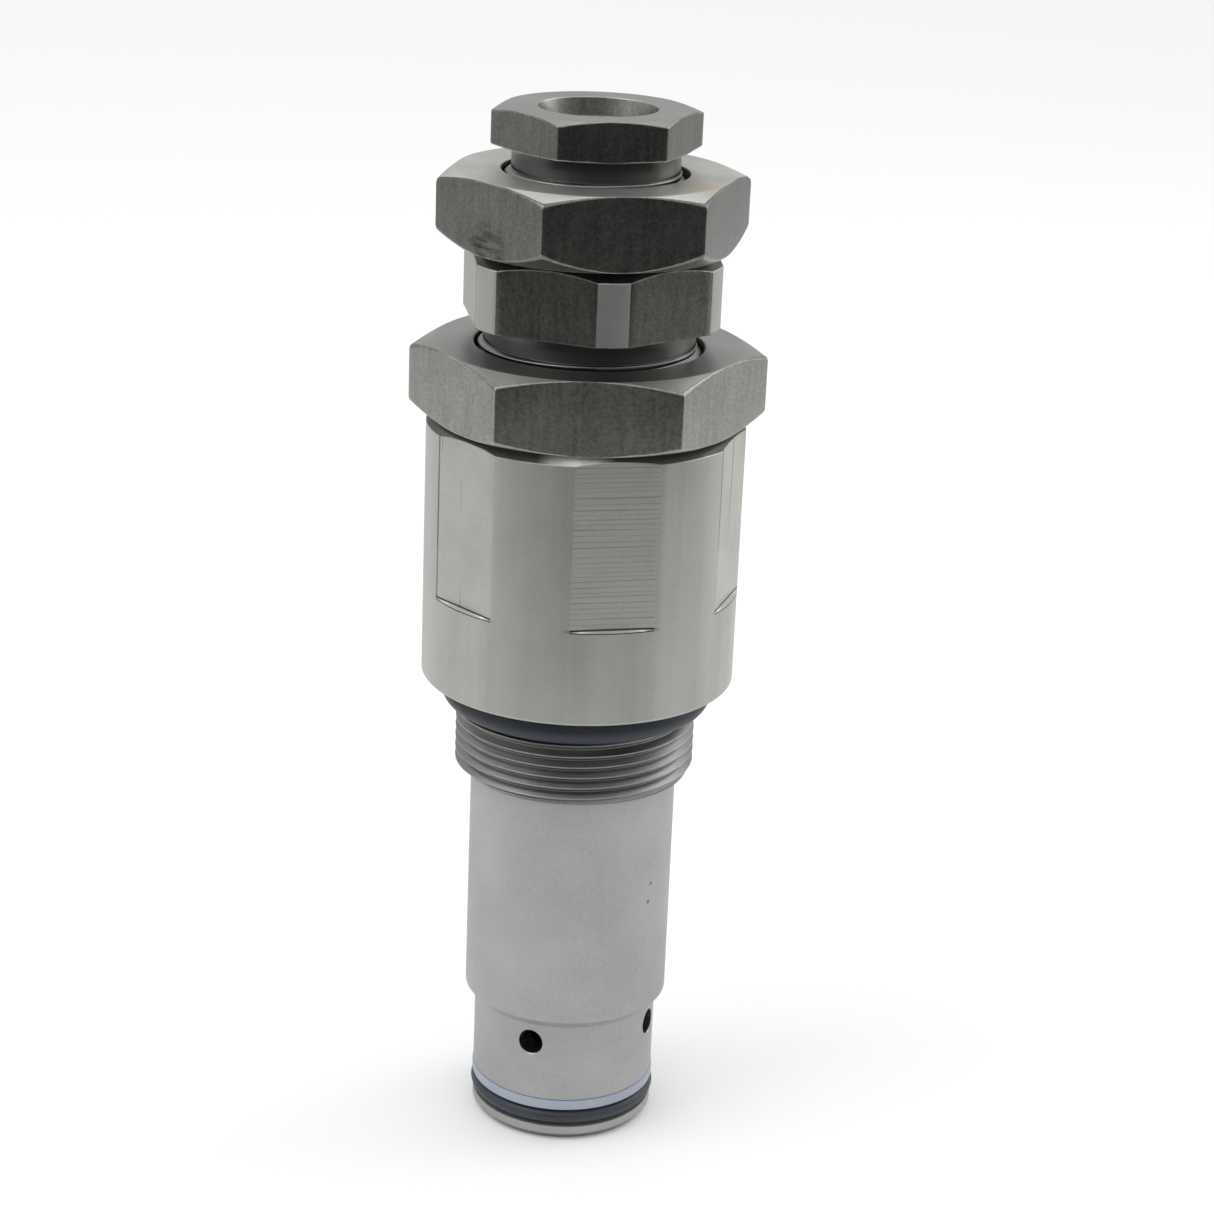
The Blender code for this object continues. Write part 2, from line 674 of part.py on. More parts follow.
# ---- the boost plug and piston ----------------------------------------------------------------------------


def boost_plug(carrier):
    """The top plug: sets the low pressure, stops the piston, and takes the pilot hose in its port."""
    groove_foot, groove_top = PLUG_GROOVE
    seal_r, neck_r, oil_way_r = PLUG_SEAL_R - SLIDE_GAP, 10.95, 1.5
    corner_r = PLUG_HEX / math.sqrt(3)
    fall, edge_break, run_out = 0.9, 0.5, 0.8
    thread_foot, thread_head = 117.0, 134.1
    top_face_r, foot_face_r = PLUG_HEX / 2 - 0.2, PLUG_HEX / 2 - 0.4
    drill_point, port_floor, cone_depth = 125.5, 128.0, 2.5
    cone_foot_r = PORT_MOUTH_R - cone_depth * math.tan(math.radians(15))
    profile = [
        (PORT_MOUTH_R, PLUG_TOP),
        (top_face_r, PLUG_TOP),
        (corner_r, PLUG_TOP - fall),
        (corner_r, PLUG_HEX_FOOT + fall),
        (foot_face_r, PLUG_HEX_FOOT),
        (neck_r, PLUG_HEX_FOOT),
        (neck_r, thread_head + run_out),
        (PLUG_THREAD_R, thread_head),
        (PLUG_THREAD_R, thread_foot),
        (seal_r, thread_foot - run_out),
        (seal_r, groove_top),
        (PLUG_GROOVE_R, groove_top),
        (PLUG_GROOVE_R, groove_foot),
        (seal_r, groove_foot),
        (seal_r, PLUG_FOOT + edge_break),
        (seal_r - edge_break, PLUG_FOOT),
        (oil_way_r, PLUG_FOOT),
        (oil_way_r, drill_point),
        (PORT_R, port_floor),
        (PORT_R, PLUG_TOP - cone_depth),
        (cone_foot_r, PLUG_TOP - cone_depth),
    ]
    plug = turned("boost_plug", profile, PLUG_HEX_FOOT, FINE)
    trim_to_hexagon(plug, PLUG_HEX)
    return finish_piece(plug, STEEL, carrier, PLUG_HEX_FOOT, PLUG_CLOCK)


def plug_oring(carrier):
    seal = oring("plug_oring", PLUG_GROOVE_R, PLUG_SEAL_R, MEDIUM)
    return finish_piece(seal, RUBBER, carrier, sum(PLUG_GROOVE) / 2)


def boost_piston(carrier):
    """The piston that pilot pressure pushes down to raise the setting."""
    groove_foot, groove_top = PISTON_GROOVE
    head_r, stem_r, edge_break, top = PISTON_BORE_R - SLIDE_GAP, 4.5, 0.5, PLUG_FOOT - REST_GAP
    profile = [
        (0, top),
        (head_r - edge_break, top),
        (head_r, top - edge_break),
        (head_r, groove_top),
        (PISTON_GROOVE_R, groove_top),
        (PISTON_GROOVE_R, groove_foot),
        (head_r, groove_foot),
        (head_r, PISTON_HEAD_FOOT),
        (stem_r, PISTON_HEAD_FOOT),
        (stem_r, PISTON_FOOT),
        (0, PISTON_FOOT),
    ]
    piston = turned("boost_piston", profile, PISTON_HEAD_FOOT, MEDIUM)
    return finish_piece(piston, HARD_STEEL, carrier, PISTON_HEAD_FOOT)


def piston_oring(carrier):
    seal = oring("piston_oring", PISTON_GROOVE_R, PISTON_BORE_R, MEDIUM)
    return finish_piece(seal, RUBBER, carrier, sum(PISTON_GROOVE) / 2)


def spring_seat(carrier):
    """The flanged cup that passes the piston's push to the pilot spring."""
    top, flange_foot = PISTON_FOOT - REST_GAP, PILOT_SPRING_TOP + REST_GAP
    flange_r, pin_r, pin_length, edge_break = 6.6, 3.5, 3.5, 0.5
    profile = [
        (0, top),
        (flange_r, top),
        (flange_r, flange_foot),
        (pin_r, flange_foot),
        (pin_r, flange_foot - pin_length + edge_break),
        (pin_r - edge_break, flange_foot - pin_length),
        (0, flange_foot - pin_length),
    ]
    seat = turned("spring_seat", profile, flange_foot, MEDIUM)
    return finish_piece(seat, HARD_STEEL, carrier, flange_foot)


def shade_round_faces():
    """Applies each piece's modifiers, then shades it smooth everywhere but over its sharp edges."""
    depsgraph = bpy.context.evaluated_depsgraph_get()
    for obj in bpy.data.collections[ASSEMBLY].objects:
        if obj.type != "MESH":
            continue
        mesh = bpy.data.meshes.new_from_object(obj.evaluated_get(depsgraph))
        mesh.shade_smooth()
        mesh.set_sharp_from_angle(angle=SHARP_ANGLE)
        obj.modifiers.clear()
        obj.data = mesh


def build():
    clear_scene()
    collection(ASSEMBLY)
    collection("cutters")

    fixed = group("fixed_group", BODY_SHOULDER)
    valve_body(fixed)
    main_sleeve(fixed)
    pilot_seat(fixed)
    pilot_seat_seals(fixed)
    body_oring(fixed)
    nose_seals(fixed)
    main_spring(fixed)
    pilot_spring(fixed)
    hexagon_nut(
        "adjuster_lock_nut",
        ADJUSTER_NUT_HEX,
        ADJUSTER_THREAD_R,
        BODY_TOP + REST_GAP,
        ADJUSTER_NUT_TOP,
        ADJUSTER_NUT_CLOCK,
        group("adjuster_nut_axis", BODY_TOP, fixed),
    )

    main_stage = group("main_stage_axis", SEAT_LEVEL, fixed)
    main_poppet(main_stage)
    orifice_jet(main_stage)
    orifice_filter(main_stage)
    filter_snap_ring(main_stage)

    pilot_poppet(group("pilot_stage_axis", PILOT_TIP, fixed))

    adjuster_axis = group("adjuster_axis", ADJUSTER_HEX_FOOT, fixed)
    adjuster_oring(adjuster_axis)
    pressure_adjuster(adjuster_axis)
    hexagon_nut(
        "plug_lock_nut",
        PLUG_NUT_HEX,
        PLUG_THREAD_R,
        ADJUSTER_TOP,
        PLUG_NUT_TOP,
        PLUG_NUT_CLOCK,
        group("plug_nut_axis", ADJUSTER_TOP, adjuster_axis),
    )

    plug_axis = group("plug_axis", PLUG_HEX_FOOT, adjuster_axis)
    plug_oring(plug_axis)
    boost_plug(plug_axis)
    piston_axis = group("piston_axis", PISTON_HEAD_FOOT, plug_axis)
    boost_piston(piston_axis)
    piston_oring(piston_axis)
    spring_seat(piston_axis)
    shade_round_faces()


build()
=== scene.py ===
"""Looks of the pressure relief valve: fine meshes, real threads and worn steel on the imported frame.

Most pieces are a skin lofted round the valve's axis from a cross-section that may change with the angle,
so hexagons, milled flats and helical threads all come from one function. The springs and the snap ring are
swept wires, and the two orifice pieces keep their CAD shapes. Sizes are millimetres, heights are above the
nose's end face, and angles are measured from +X.
"""

import json
import math

import bmesh
import bpy
from mathutils import Matrix, Vector, noise

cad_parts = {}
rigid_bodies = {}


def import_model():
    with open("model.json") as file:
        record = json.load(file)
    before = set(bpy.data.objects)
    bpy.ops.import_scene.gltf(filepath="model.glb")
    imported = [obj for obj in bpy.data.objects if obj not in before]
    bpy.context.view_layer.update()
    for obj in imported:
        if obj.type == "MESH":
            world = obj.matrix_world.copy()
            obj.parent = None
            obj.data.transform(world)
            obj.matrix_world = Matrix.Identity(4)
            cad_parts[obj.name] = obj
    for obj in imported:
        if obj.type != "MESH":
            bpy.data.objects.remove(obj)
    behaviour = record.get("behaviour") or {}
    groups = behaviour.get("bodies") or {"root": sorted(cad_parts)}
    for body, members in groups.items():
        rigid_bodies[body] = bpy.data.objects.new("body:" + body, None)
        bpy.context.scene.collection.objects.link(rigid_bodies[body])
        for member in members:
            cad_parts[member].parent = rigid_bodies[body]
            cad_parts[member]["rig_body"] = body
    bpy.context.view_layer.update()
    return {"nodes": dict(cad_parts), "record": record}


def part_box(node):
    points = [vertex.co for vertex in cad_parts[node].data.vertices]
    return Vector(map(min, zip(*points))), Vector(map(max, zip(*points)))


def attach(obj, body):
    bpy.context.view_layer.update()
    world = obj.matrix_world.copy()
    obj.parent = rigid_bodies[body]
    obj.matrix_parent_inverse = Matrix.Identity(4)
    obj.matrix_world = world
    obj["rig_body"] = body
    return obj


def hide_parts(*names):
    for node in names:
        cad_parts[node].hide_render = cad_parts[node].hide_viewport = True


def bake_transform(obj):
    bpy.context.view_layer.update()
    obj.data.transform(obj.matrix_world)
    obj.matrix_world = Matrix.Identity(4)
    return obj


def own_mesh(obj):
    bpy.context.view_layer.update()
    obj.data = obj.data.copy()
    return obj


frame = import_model()

MM = 0.001
TURN = 2 * math.pi
STEP = math.radians(3)  # widest angle between two columns of a skin
ROUNDING = 0.12  # usual radius of a broken edge
PITCH = 1.5  # of every metric thread here
RUN_OUT = 0.8  # room for a thread to run out at its end
FLAT_SIDE = 1e-4  # a nudge that puts an angle on a flat's edge inside the flat
RELIEF = 0.01 * MM  # height of the fine marks in every finish

# Wrench sizes, and the clocking of each hexagon from the body's flats, in degrees.
PLUG_HEX, PLUG_CLOCK = 24.0, -2.7
PLUG_NUT_HEX, PLUG_NUT_CLOCK = 36.0, 0.0
ADJUSTER_HEX, ADJUSTER_CLOCK = 32.0, -32.7
ADJUSTER_NUT_HEX, ADJUSTER_NUT_CLOCK = 41.0, -11.4
BODY_HEX = 41.0
HOLE_CLOCK = -32.7


def foot_of(node):
    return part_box(node)[0].z / MM


def top_of(node):
    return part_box(node)[1].z / MM


def radius_of(node):
    """The distance from the axis to the node's outermost point."""
    return max(vertex.co.xy.length for vertex in frame["nodes"][node].data.vertices) / MM


# ---- skins round the axis ----------------------------------------------------------------------------


class Hexagon:
    """A hexagonal bar seen along its axis, with its corners turned down to a radius."""

    def __init__(self, across_flats, clock, corner_radius):
        self.apothem = across_flats / 2
        self.clock = math.radians(clock - 90)
        self.corner_radius = corner_radius
        self.flat_half_angle = math.acos(self.apothem / corner_radius)

    def off_flat(self, angle):
        """The angle from the nearest flat's normal."""
        sixth = TURN / 6
        return (angle - self.clock + sixth / 2) % sixth - sixth / 2

    def on_flat(self, angle):
        return abs(self.off_flat(angle)) < self.flat_half_angle

    def radius(self, angle):
        return min(self.apothem / math.cos(self.off_flat(angle)), self.corner_radius)

    def key_angles(self):
        centres = [self.clock + TURN * side / 6 for side in range(6)]
        return [c + sign * self.flat_half_angle for c in centres for sign in (-1, 1)]


def columns(key_angles=()):
    """Angles from 0 to a full turn that include the key angles and leave no gap wider than STEP."""
    keys = sorted({round(a % TURN, 9) for a in key_angles} | {0.0, round(TURN, 9)})
    found = []
    for start, end in zip(keys, keys[1:]):
        count = max(1, math.ceil((end - start) / STEP))
        found += [start + (end - start) * i / count for i in range(count)]
    return found + [TURN]


def round_corner(before, corner, after, radius):
    """Three points that round a corner of a cross-section."""
    here = Vector(corner)
    back, ahead = Vector(before) - here, Vector(after) - here
    reach = min(radius, 0.45 * back.length, 0.45 * ahead.length)
    first = here + back.normalized() * reach
    last = here + ahead.normalized() * reach
    return [first, (first + here + here + last) / 4, last]


def outline(section, closed):
    """The points of a cross-section, each with the finish of the band that starts there."""
    points = []
    count = len(section)
    for i, (radius, height, finish, rounding) in enumerate(section):
        at_end = not closed and i in (0, count - 1)
        if rounding == 0 or at_end:
            points.append((radius, height, finish))
            continue
        before, after = section[i - 1][:2], section[(i + 1) % count][:2]
        for point in round_corner(before, (radius, height), after, rounding):
            points.append((point.x, point.y, finish))
    return points


def piece_from(bm, name, materials):
    """An object from a mesh that may still hold double points and slivers."""
    bmesh.ops.remove_doubles(bm, verts=bm.verts, dist=0.002 * MM)
    bmesh.ops.dissolve_degenerate(bm, edges=bm.edges, dist=0.001 * MM)
    bmesh.ops.recalc_face_normals(bm, faces=bm.faces)
    mesh = bpy.data.meshes.new(name)
    bm.to_mesh(mesh)
    bm.free()
    piece = bpy.data.objects.new(name, mesh)
    bpy.context.scene.collection.objects.link(piece)
    for material in materials:
        mesh.materials.append(material)
    return piece


def skin(name, section_at, materials, angles=None, closed=True):
    """A mesh lofted round the axis. section_at(angle) gives (radius, height, finish, rounding) corners."""
    angles = angles or columns()
    bm = bmesh.new()
    grid = []
    for angle in angles:
        points = outline(section_at(angle), closed)
        column = [
            bm.verts.new((r * math.cos(angle) * MM, r * math.sin(angle) * MM, z * MM)) for r, z, _ in points
        ]
        grid.append((column, [finish for _, _, finish in points]))
    bands = len(grid[0][0]) if closed else len(grid[0][0]) - 1
    for (left, left_finish), (right, _) in zip(grid, grid[1:]):
        for i in range(bands):
            j = (i + 1) % len(left)
            face = bm.faces.new((left[i], right[i], right[j], left[j]))
            face.material_index = left_finish[i]
            face.smooth = True
    return piece_from(bm, name, materials)


def wire(name, centre_at, start, end, wire_r, material):
    """A round wire swept round the axis. centre_at(turns) gives the place of its centre, in metres."""
    sides, steps = 16, 60
    bm = bmesh.new()
    rings = []
    count = round((end - start) * steps)
    for i in range(count + 1):
        turns = start + (end - start) * i / count
        out = Vector((math.cos(TURN * turns), math.sin(TURN * turns), 0))
        ahead = (centre_at(turns + 1 / steps) - centre_at(turns - 1 / steps)).normalized()
        up = out.cross(ahead)
        ring = []
        for side in range(sides):
            spin = TURN * side / sides
            spoke = out * math.cos(spin) + up * math.sin(spin)
            ring.append(bm.verts.new(centre_at(turns) + spoke * wire_r * MM))
        rings.append(ring)
    for ring, following in zip(rings, rings[1:]):
        for side in range(sides):
            after = (side + 1) % sides
            bm.faces.new((ring[side], ring[after], following[after], following[side])).smooth = True
    bm.faces.new(rings[0])
    bm.faces.new(rings[-1])
    return piece_from(bm, name, [material])


def weigh_normals(piece):
    modifier = piece.modifiers.new("weighted_normals", "WEIGHTED_NORMAL")
    modifier.mode = "FACE_AREA"
    modifier.keep_sharp = True


def stand_for(piece, node):
    """Lets a piece take a CAD node's place, on the node's body."""
    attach(piece, frame["nodes"][node]["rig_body"])
    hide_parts(node)
    return piece


# A 60 degree thread over one pitch: flat crest, flank, flat root, flank.
CREST_END, ROOT_START, ROOT_END = 0.125, 0.479, 0.646
THREAD_DEPTH = 0.61 * PITCH


def thread_depth_at(height, angle, pitch):
    """How deep a right-hand thread is cut here, from 0 on the crest to 1 at the root."""
    phase = (height / pitch - angle / TURN) % 1.0
    if phase <= CREST_END:
        return 0.0
    if phase < ROOT_START:
        return (phase - CREST_END) / (ROOT_START - CREST_END)
    if phase <= ROOT_END:
        return 1.0
    return (1.0 - phase) / (1.0 - ROOT_END)


def thread_rows(angle, low, high, radius_at, finish, pitch=PITCH):
    """Corners down a helical thread. radius_at(height, depth) gives the radius for a depth from 0 to 1."""
    rows = []
    first, last = math.floor(low / pitch) - 2, math.ceil(high / pitch) + 1
    for turn in range(first, last):
        for phase in (0.0, CREST_END, ROOT_START, ROOT_END):
            height = min(max((turn + phase + angle / TURN) * pitch, low), high)
            depth = thread_depth_at(height, angle, pitch)
            rows.append((radius_at(height, depth), height, finish, 0))
    return rows[::-1]


def wear_at(angle, seed, usual=ROUNDING):
    """The radius of a knocked edge, which changes along the edge."""
    place = Vector((3 * math.cos(angle), 3 * math.sin(angle), seed))
    fine = Vector((11 * math.cos(angle), 11 * math.sin(angle), seed + 7))
    return usual * (1.0 + 0.5 * noise.noise(place) + max(0.0, 2.0 * noise.noise(fine) - 0.3))


def on_side(angle, radius, height):
    """A place on the valve's side, in metres, from its angle in degrees and its radius and height."""
    turn = math.radians(angle)
    return Vector((radius * math.cos(turn), radius * math.sin(turn), height)) * MM


# ---- materials ---------------------------------------------------------------------------------------


class Nodes:
    """A node tree, built a node at a time."""

    def __init__(self, tree):
        self.tree = tree

    def feed(self, socket, value):
        if isinstance(value, bpy.types.NodeSocket):
            self.tree.links.new(value, socket)
        else:
            socket.default_value = value

    def add(self, kind, inputs=None, output=0, **settings):
        node = self.tree.nodes.new(kind)
        for key, value in settings.items():
            setattr(node, key, value)
        for key, value in (inputs or {}).items():
            self.feed(node.inputs[key], value)
        return node.outputs[output]

    def math(self, operation, a, b=0.0):
        return self.add("ShaderNodeMath", {0: a, 1: b}, operation=operation)

    def remap(self, value, low, high, to_low, to_high):
        inputs = {"Value": value, "From Min": low, "From Max": high, "To Min": to_low, "To Max": to_high}
        return self.add("ShaderNodeMapRange", inputs)

    def blend(self, factor, first, second):
        inputs = {0: factor, 6: first, 7: second}
        return self.add("ShaderNodeMix", inputs, output=2, data_type="RGBA")

    def parts(self, vector):
        split = self.tree.nodes.new("ShaderNodeSeparateXYZ")
        self.feed(split.inputs[0], vector)
        return split.outputs

    def even(self, level):
        """A grey of this level."""
        return self.add("ShaderNodeCombineColor", {0: level, 1: level, 2: level})


class Finish(Nodes):
    """A material's node tree, with the patterns that marks in metal are made of."""

    def __init__(self, name):
        self.material = bpy.data.materials.new(name)
        self.material.use_nodes = True
        super().__init__(self.material.node_tree)
        self.shader = self.tree.nodes["Principled BSDF"]
        self.place = self.add("ShaderNodeTexCoord", output="Object")

    def noise(self, place, scale, detail=3.0, roughness=0.5):
        inputs = {"Vector": place, "Scale": scale, "Detail": detail, "Roughness": roughness}
        return self.add("ShaderNodeTexNoise", inputs)

    def stretched(self, x, y, z):
        """Places scaled apart along each axis, so that a noise draws streaks."""
        return self.add("ShaderNodeVectorMath", {0: self.place, 1: (x, y, z)}, operation="MULTIPLY")

    def round_axis(self, radial, along, around):
        """Places measured from the valve's axis, so that a noise draws rings or lines down the side."""
        x, y, z = self.parts(self.place)
        squares = self.math("ADD", self.math("MULTIPLY", x, x), self.math("MULTIPLY", y, y))
        distance = self.math("SQRT", squares)
        angle = self.math("ARCTAN2", y, x)
        scaled = {
            0: self.math("MULTIPLY", distance, radial),
            1: self.math("MULTIPLY", z, along),
            2: self.math("MULTIPLY", angle, around),
        }
        return self.add("ShaderNodeCombineXYZ", scaled)

    def near(self, centre, reach):
        """1 at a place on the surface, fading to 0 at a distance of reach."""
        distance = self.add(
            "ShaderNodeVectorMath", {0: self.place, 1: centre}, output=1, operation="DISTANCE"
        )
        return self.remap(distance, 0.0, reach, 1.0, 0.0)

    def edge_mask(self, reach):
        """1 on edges, 0 on flat ground, from how far a rounded normal leans from the true one."""
        rounded = self.add("ShaderNodeBevel", {"Radius": reach * MM}, samples=4)
        true = self.add("ShaderNodeNewGeometry", output="Normal")
        facing = self.add("ShaderNodeVectorMath", {0: rounded, 1: true}, output=1, operation="DOT_PRODUCT")
        return self.remap(facing, 0.995, 0.9, 0.0, 1.0)

    def relief(self, strength, height):
        return self.add("ShaderNodeBump", {"Strength": strength, "Distance": RELIEF, "Height": height})

    def set(self, **inputs):
        names = {"colour": "Base Color", "rough": "Roughness", "metal": "Metallic", "normal": "Normal"}
        for key, value in inputs.items():
            self.feed(self.shader.inputs[names.get(key, key)], value)


def grey(value, warmth=0.0, green=0.0):
    """A linear grey, warmer above 0 and cooler below, or purplish with less green."""
    return (value * (1 + warmth), value * (1 + 0.3 * warmth + green), value * (1 - warmth), 1.0)


def turned_steel(name, value, warmth, rough, ring_depth, wear=0.0, metal=1.0, stain_and_highlight=None):
    """Lathe-turned steel: fine rings round the axis, soft stains, bright worn edges, and an optional patch
    of colour: a real stain on the plug lock nut's face, a painted highlight on the body's chamfer.
    """
    finish = Finish(name)
    rings = finish.noise(finish.round_axis(2600, 2600, 0.6), 1.0, 2.0, 0.6)
    coarse_rings = finish.noise(finish.round_axis(500, 500, 0.3), 1.0, 2.0)
    cloud = finish.noise(finish.place, 90.0, 4.0, 0.6)
    speck = finish.noise(finish.place, 1500.0, 2.0)
    tone = finish.math("ADD", finish.math("MULTIPLY", rings, 0.2), finish.math("MULTIPLY", cloud, 0.8))
    dull, bright = grey(value * 0.88, warmth), grey(value * 1.12, warmth)
    colour = finish.blend(finish.remap(tone, 0.3, 0.7, 0.0, 1.0), dull, bright)
    # The optional patch: a real stain on the plug lock nut's face, a painted highlight on the body's
    # chamfer.
    if stain_and_highlight:
        centre, reach, stain_and_highlight_colour = stain_and_highlight
        patch = finish.math("MULTIPLY", finish.near(centre, reach), finish.remap(cloud, 0.4, 0.6, 0.8, 2.0))
        colour = finish.blend(patch, colour, stain_and_highlight_colour)
    if wear:
        edge = finish.math("MULTIPLY", finish.edge_mask(0.3), finish.remap(speck, 0.35, 0.6, 0.2, wear))
        colour = finish.blend(edge, colour, grey(min(0.85, value * 1.7)))
    height = finish.math("ADD", rings, finish.math("MULTIPLY", coarse_rings, 1.5))
    height = finish.math("ADD", height, finish.math("MULTIPLY", speck, 0.5))
    bump = finish.relief(ring_depth, height)
    tangent = finish.add("ShaderNodeTangent", direction_type="RADIAL", axis="Z")
    finish.set(
        colour=colour,
        metal=metal,
        rough=finish.remap(tone, 0.2, 0.8, rough * 0.8, rough * 1.25),
        normal=bump,
        Anisotropic=0.45,
        Tangent=tangent,
    )
    return finish.material


def drawn_steel(name, value, rough, smudge=None):
    """The cold-drawn flats of hexagon bar: mottled, streaked along the bar, with knocked bright edges."""
    finish = Finish(name)
    streaks = finish.noise(finish.stretched(1300, 1300, 120), 1.0, 3.0, 0.6)
    mottle = finish.noise(finish.place, 2200.0, 6.0, 0.8)
    cloud = finish.noise(finish.place, 150.0, 3.0)
    tone = finish.math("ADD", finish.math("MULTIPLY", streaks, 0.2), finish.math("MULTIPLY", mottle, 0.65))
    tone = finish.math("ADD", tone, finish.math("MULTIPLY", cloud, 0.15))
    dull, bright = grey(value * 0.72, 0.04, 0.05), grey(value * 1.28, 0.04, 0.05)
    colour = finish.blend(finish.remap(tone, 0.4, 0.6, 0.0, 1.0), dull, bright)
    if smudge:
        wisps = finish.remap(finish.noise(finish.stretched(250, 250, 1100), 1.0, 5.0), 0.42, 0.55, 0.0, 1.0)
        dark = finish.math("MULTIPLY", wisps, finish.remap(finish.near(*smudge), 0.0, 0.6, 0.0, 0.8))
        colour = finish.blend(dark, colour, grey(value * 0.2))
    knocks = finish.remap(finish.noise(finish.place, 700.0), 0.35, 0.6, 0.15, 0.9)
    colour = finish.blend(finish.math("MULTIPLY", finish.edge_mask(0.35), knocks), colour, grey(0.65))
    height = finish.math("ADD", streaks, mottle)
    bump = finish.relief(0.3, height)
    dulled = finish.remap(tone, 0.3, 0.7, rough * 0.8, rough * 1.2)
    finish.set(colour=colour, metal=1.0, rough=dulled, normal=bump)
    return finish.material


def milled_steel(name, value, rough):
    """The body's milled flats: cutter's lines on the front one, scored edges on the others."""
    finish = Finish(name)
    x, y, z = finish.parts(finish.place)
    spacing, front_flat = 0.7 * MM, -BODY_HEX / 2 * MM
    waver = finish.noise(finish.stretched(12, 12, 500), 1.0, 2.0)
    waver = finish.math("MULTIPLY", waver, 12.0)
    phase = finish.math("ADD", finish.math("MULTIPLY", z, TURN / spacing), waver)
    line = finish.remap(finish.math("SINE", phase), 0.7, 1.0, 0.0, 1.0)
    strength = finish.remap(finish.noise(finish.stretched(60, 60, 1500), 1.0, 3.0), 0.35, 0.65, 0.25, 1.0)
    at_front = finish.remap(y, front_flat + 0.1 * MM, front_flat + 0.2 * MM, 1.0, 0.0)
    line = finish.math("MULTIPLY", finish.math("MULTIPLY", line, strength), at_front)
    past_flat = finish.math("ADD", finish.math("ARCTAN2", y, x), TURN / 4 + TURN / 12 + TURN)
    off_flat = finish.math("SUBTRACT", finish.math("MODULO", past_flat, TURN / 6), TURN / 12)
    edge, width = math.acos(BODY_HEX / 2 / radius_of("valve_body")), 0.008
    dark_line = finish.remap(off_flat, width - edge, 2 * width - edge, 1.0, 0.0)
    patchy = finish.remap(finish.noise(finish.stretched(9, 9, 90), 1.0, 3.0), 0.4, 0.55, 0.1, 1.0)
    dark_line = finish.math("MULTIPLY", dark_line, patchy)
    scratches = finish.noise(finish.stretched(900, 900, 25), 1.0, 2.0)
    scratches = finish.math("MULTIPLY", finish.remap(scratches, 0.68, 0.72, 0.0, 0.7), patchy)
    elsewhere = finish.math("SUBTRACT", 1.0, at_front)
    dark_line = finish.math("MULTIPLY", finish.math("MAXIMUM", dark_line, scratches), elsewhere)
    fine = finish.noise(finish.stretched(8, 8, 2600), 1.0, 2.0, 0.7)
    cloud = finish.noise(finish.place, 120.0, 3.0)
    cloud = finish.blend(finish.math("MULTIPLY", at_front, 0.6), cloud, fine)
    grain = finish.noise(finish.place, 3500.0, 3.0, 0.7)
    tone = finish.math("ADD", finish.math("MULTIPLY", cloud, 0.5), finish.math("MULTIPLY", grain, 0.5))
    tone = finish.remap(tone, 0.35, 0.65, 0.0, 1.0)
    colour = finish.blend(tone, grey(value * 0.88, 0.04, 0.04), grey(value * 1.12, 0.04, 0.04))
    colour = finish.blend(finish.math("MULTIPLY", line, 0.55), colour, grey(value * 0.3, 0.05, 0.05))
    colour = finish.blend(finish.math("MULTIPLY", dark_line, 0.85), colour, grey(value * 0.15))
    height = finish.math("SUBTRACT", finish.math("MULTIPLY", fine, 0.2), line)
    bump = finish.relief(0.2, height)
    finish.set(
        colour=colour,
        metal=0.85,
        rough=finish.remap(fine, 0.3, 0.7, rough * 0.9, rough * 1.1),
        normal=bump,
    )
    return finish.material


def banded_steel(name, value, rough):
    """The body's smooth turned bar, with soft bands down it and faint stains."""
    finish = Finish(name)
    bands = finish.noise(finish.round_axis(0.0, 6.0, 5.0), 1.0, 3.0, 0.5)
    cloud = finish.noise(finish.place, 90.0, 4.0, 0.6)
    grain = finish.noise(finish.place, 3500.0, 3.0, 0.7)
    tone = finish.math("ADD", finish.math("MULTIPLY", bands, 0.5), finish.math("MULTIPLY", cloud, 0.25))
    tone = finish.math("ADD", tone, finish.math("MULTIPLY", grain, 0.25))
    dull, bright = grey(value * 0.88, 0.03, 0.03), grey(value * 1.12, 0.03, 0.03)
    colour = finish.blend(finish.remap(tone, 0.4, 0.6, 0.0, 1.0), dull, bright)
    colour = finish.blend(finish.edge_mask(0.25), colour, grey(value * 1.5))
    bump = finish.relief(0.08, grain)
    dulled = finish.remap(tone, 0.3, 0.7, rough * 0.9, rough * 1.1)
    finish.set(colour=colour, metal=0.85, rough=dulled, normal=bump)
    return finish.material


def pitted_steel(name, value, rough):
    """The sleeve's ground, matte surface, with a few dark pits."""
    finish = Finish(name)
    grain = finish.noise(finish.round_axis(2200, 2200, 2.0), 1.0, 3.0, 0.6)
    cloud = finish.noise(finish.place, 70.0, 4.0, 0.6)
    speck = finish.noise(finish.place, 2600.0, 2.0)
    tone = finish.math("ADD", finish.math("MULTIPLY", cloud, 0.6), finish.math("MULTIPLY", speck, 0.4))
    colour = finish.blend(finish.remap(tone, 0.35, 0.65, 0.0, 1.0), grey(value * 0.88), grey(value * 1.12))
    cell_inputs = {"Vector": finish.place, "Scale": 330.0, "Randomness": 1.0}
    cells = finish.add("ShaderNodeTexVoronoi", cell_inputs, output="Distance")
    patch = finish.near(on_side(-62, 14.1, 36.0), 9 * MM)
    pit = finish.math("MULTIPLY", finish.remap(cells, 0.08, 0.13, 1.0, 0.0), patch)
    colour = finish.blend(pit, colour, grey(0.06))
    height = finish.math("SUBTRACT", finish.math("ADD", grain, finish.math("MULTIPLY", speck, 0.5)), pit)
    bump = finish.relief(0.3, height)
    tangent = finish.add("ShaderNodeTangent", direction_type="RADIAL", axis="Z")
    finish.set(
        colour=colour,
        metal=0.6,
        rough=finish.remap(speck, 0.3, 0.7, rough * 0.9, rough * 1.1),
        normal=bump,
        Anisotropic=0.25,
        Tangent=tangent,
    )
    return finish.material


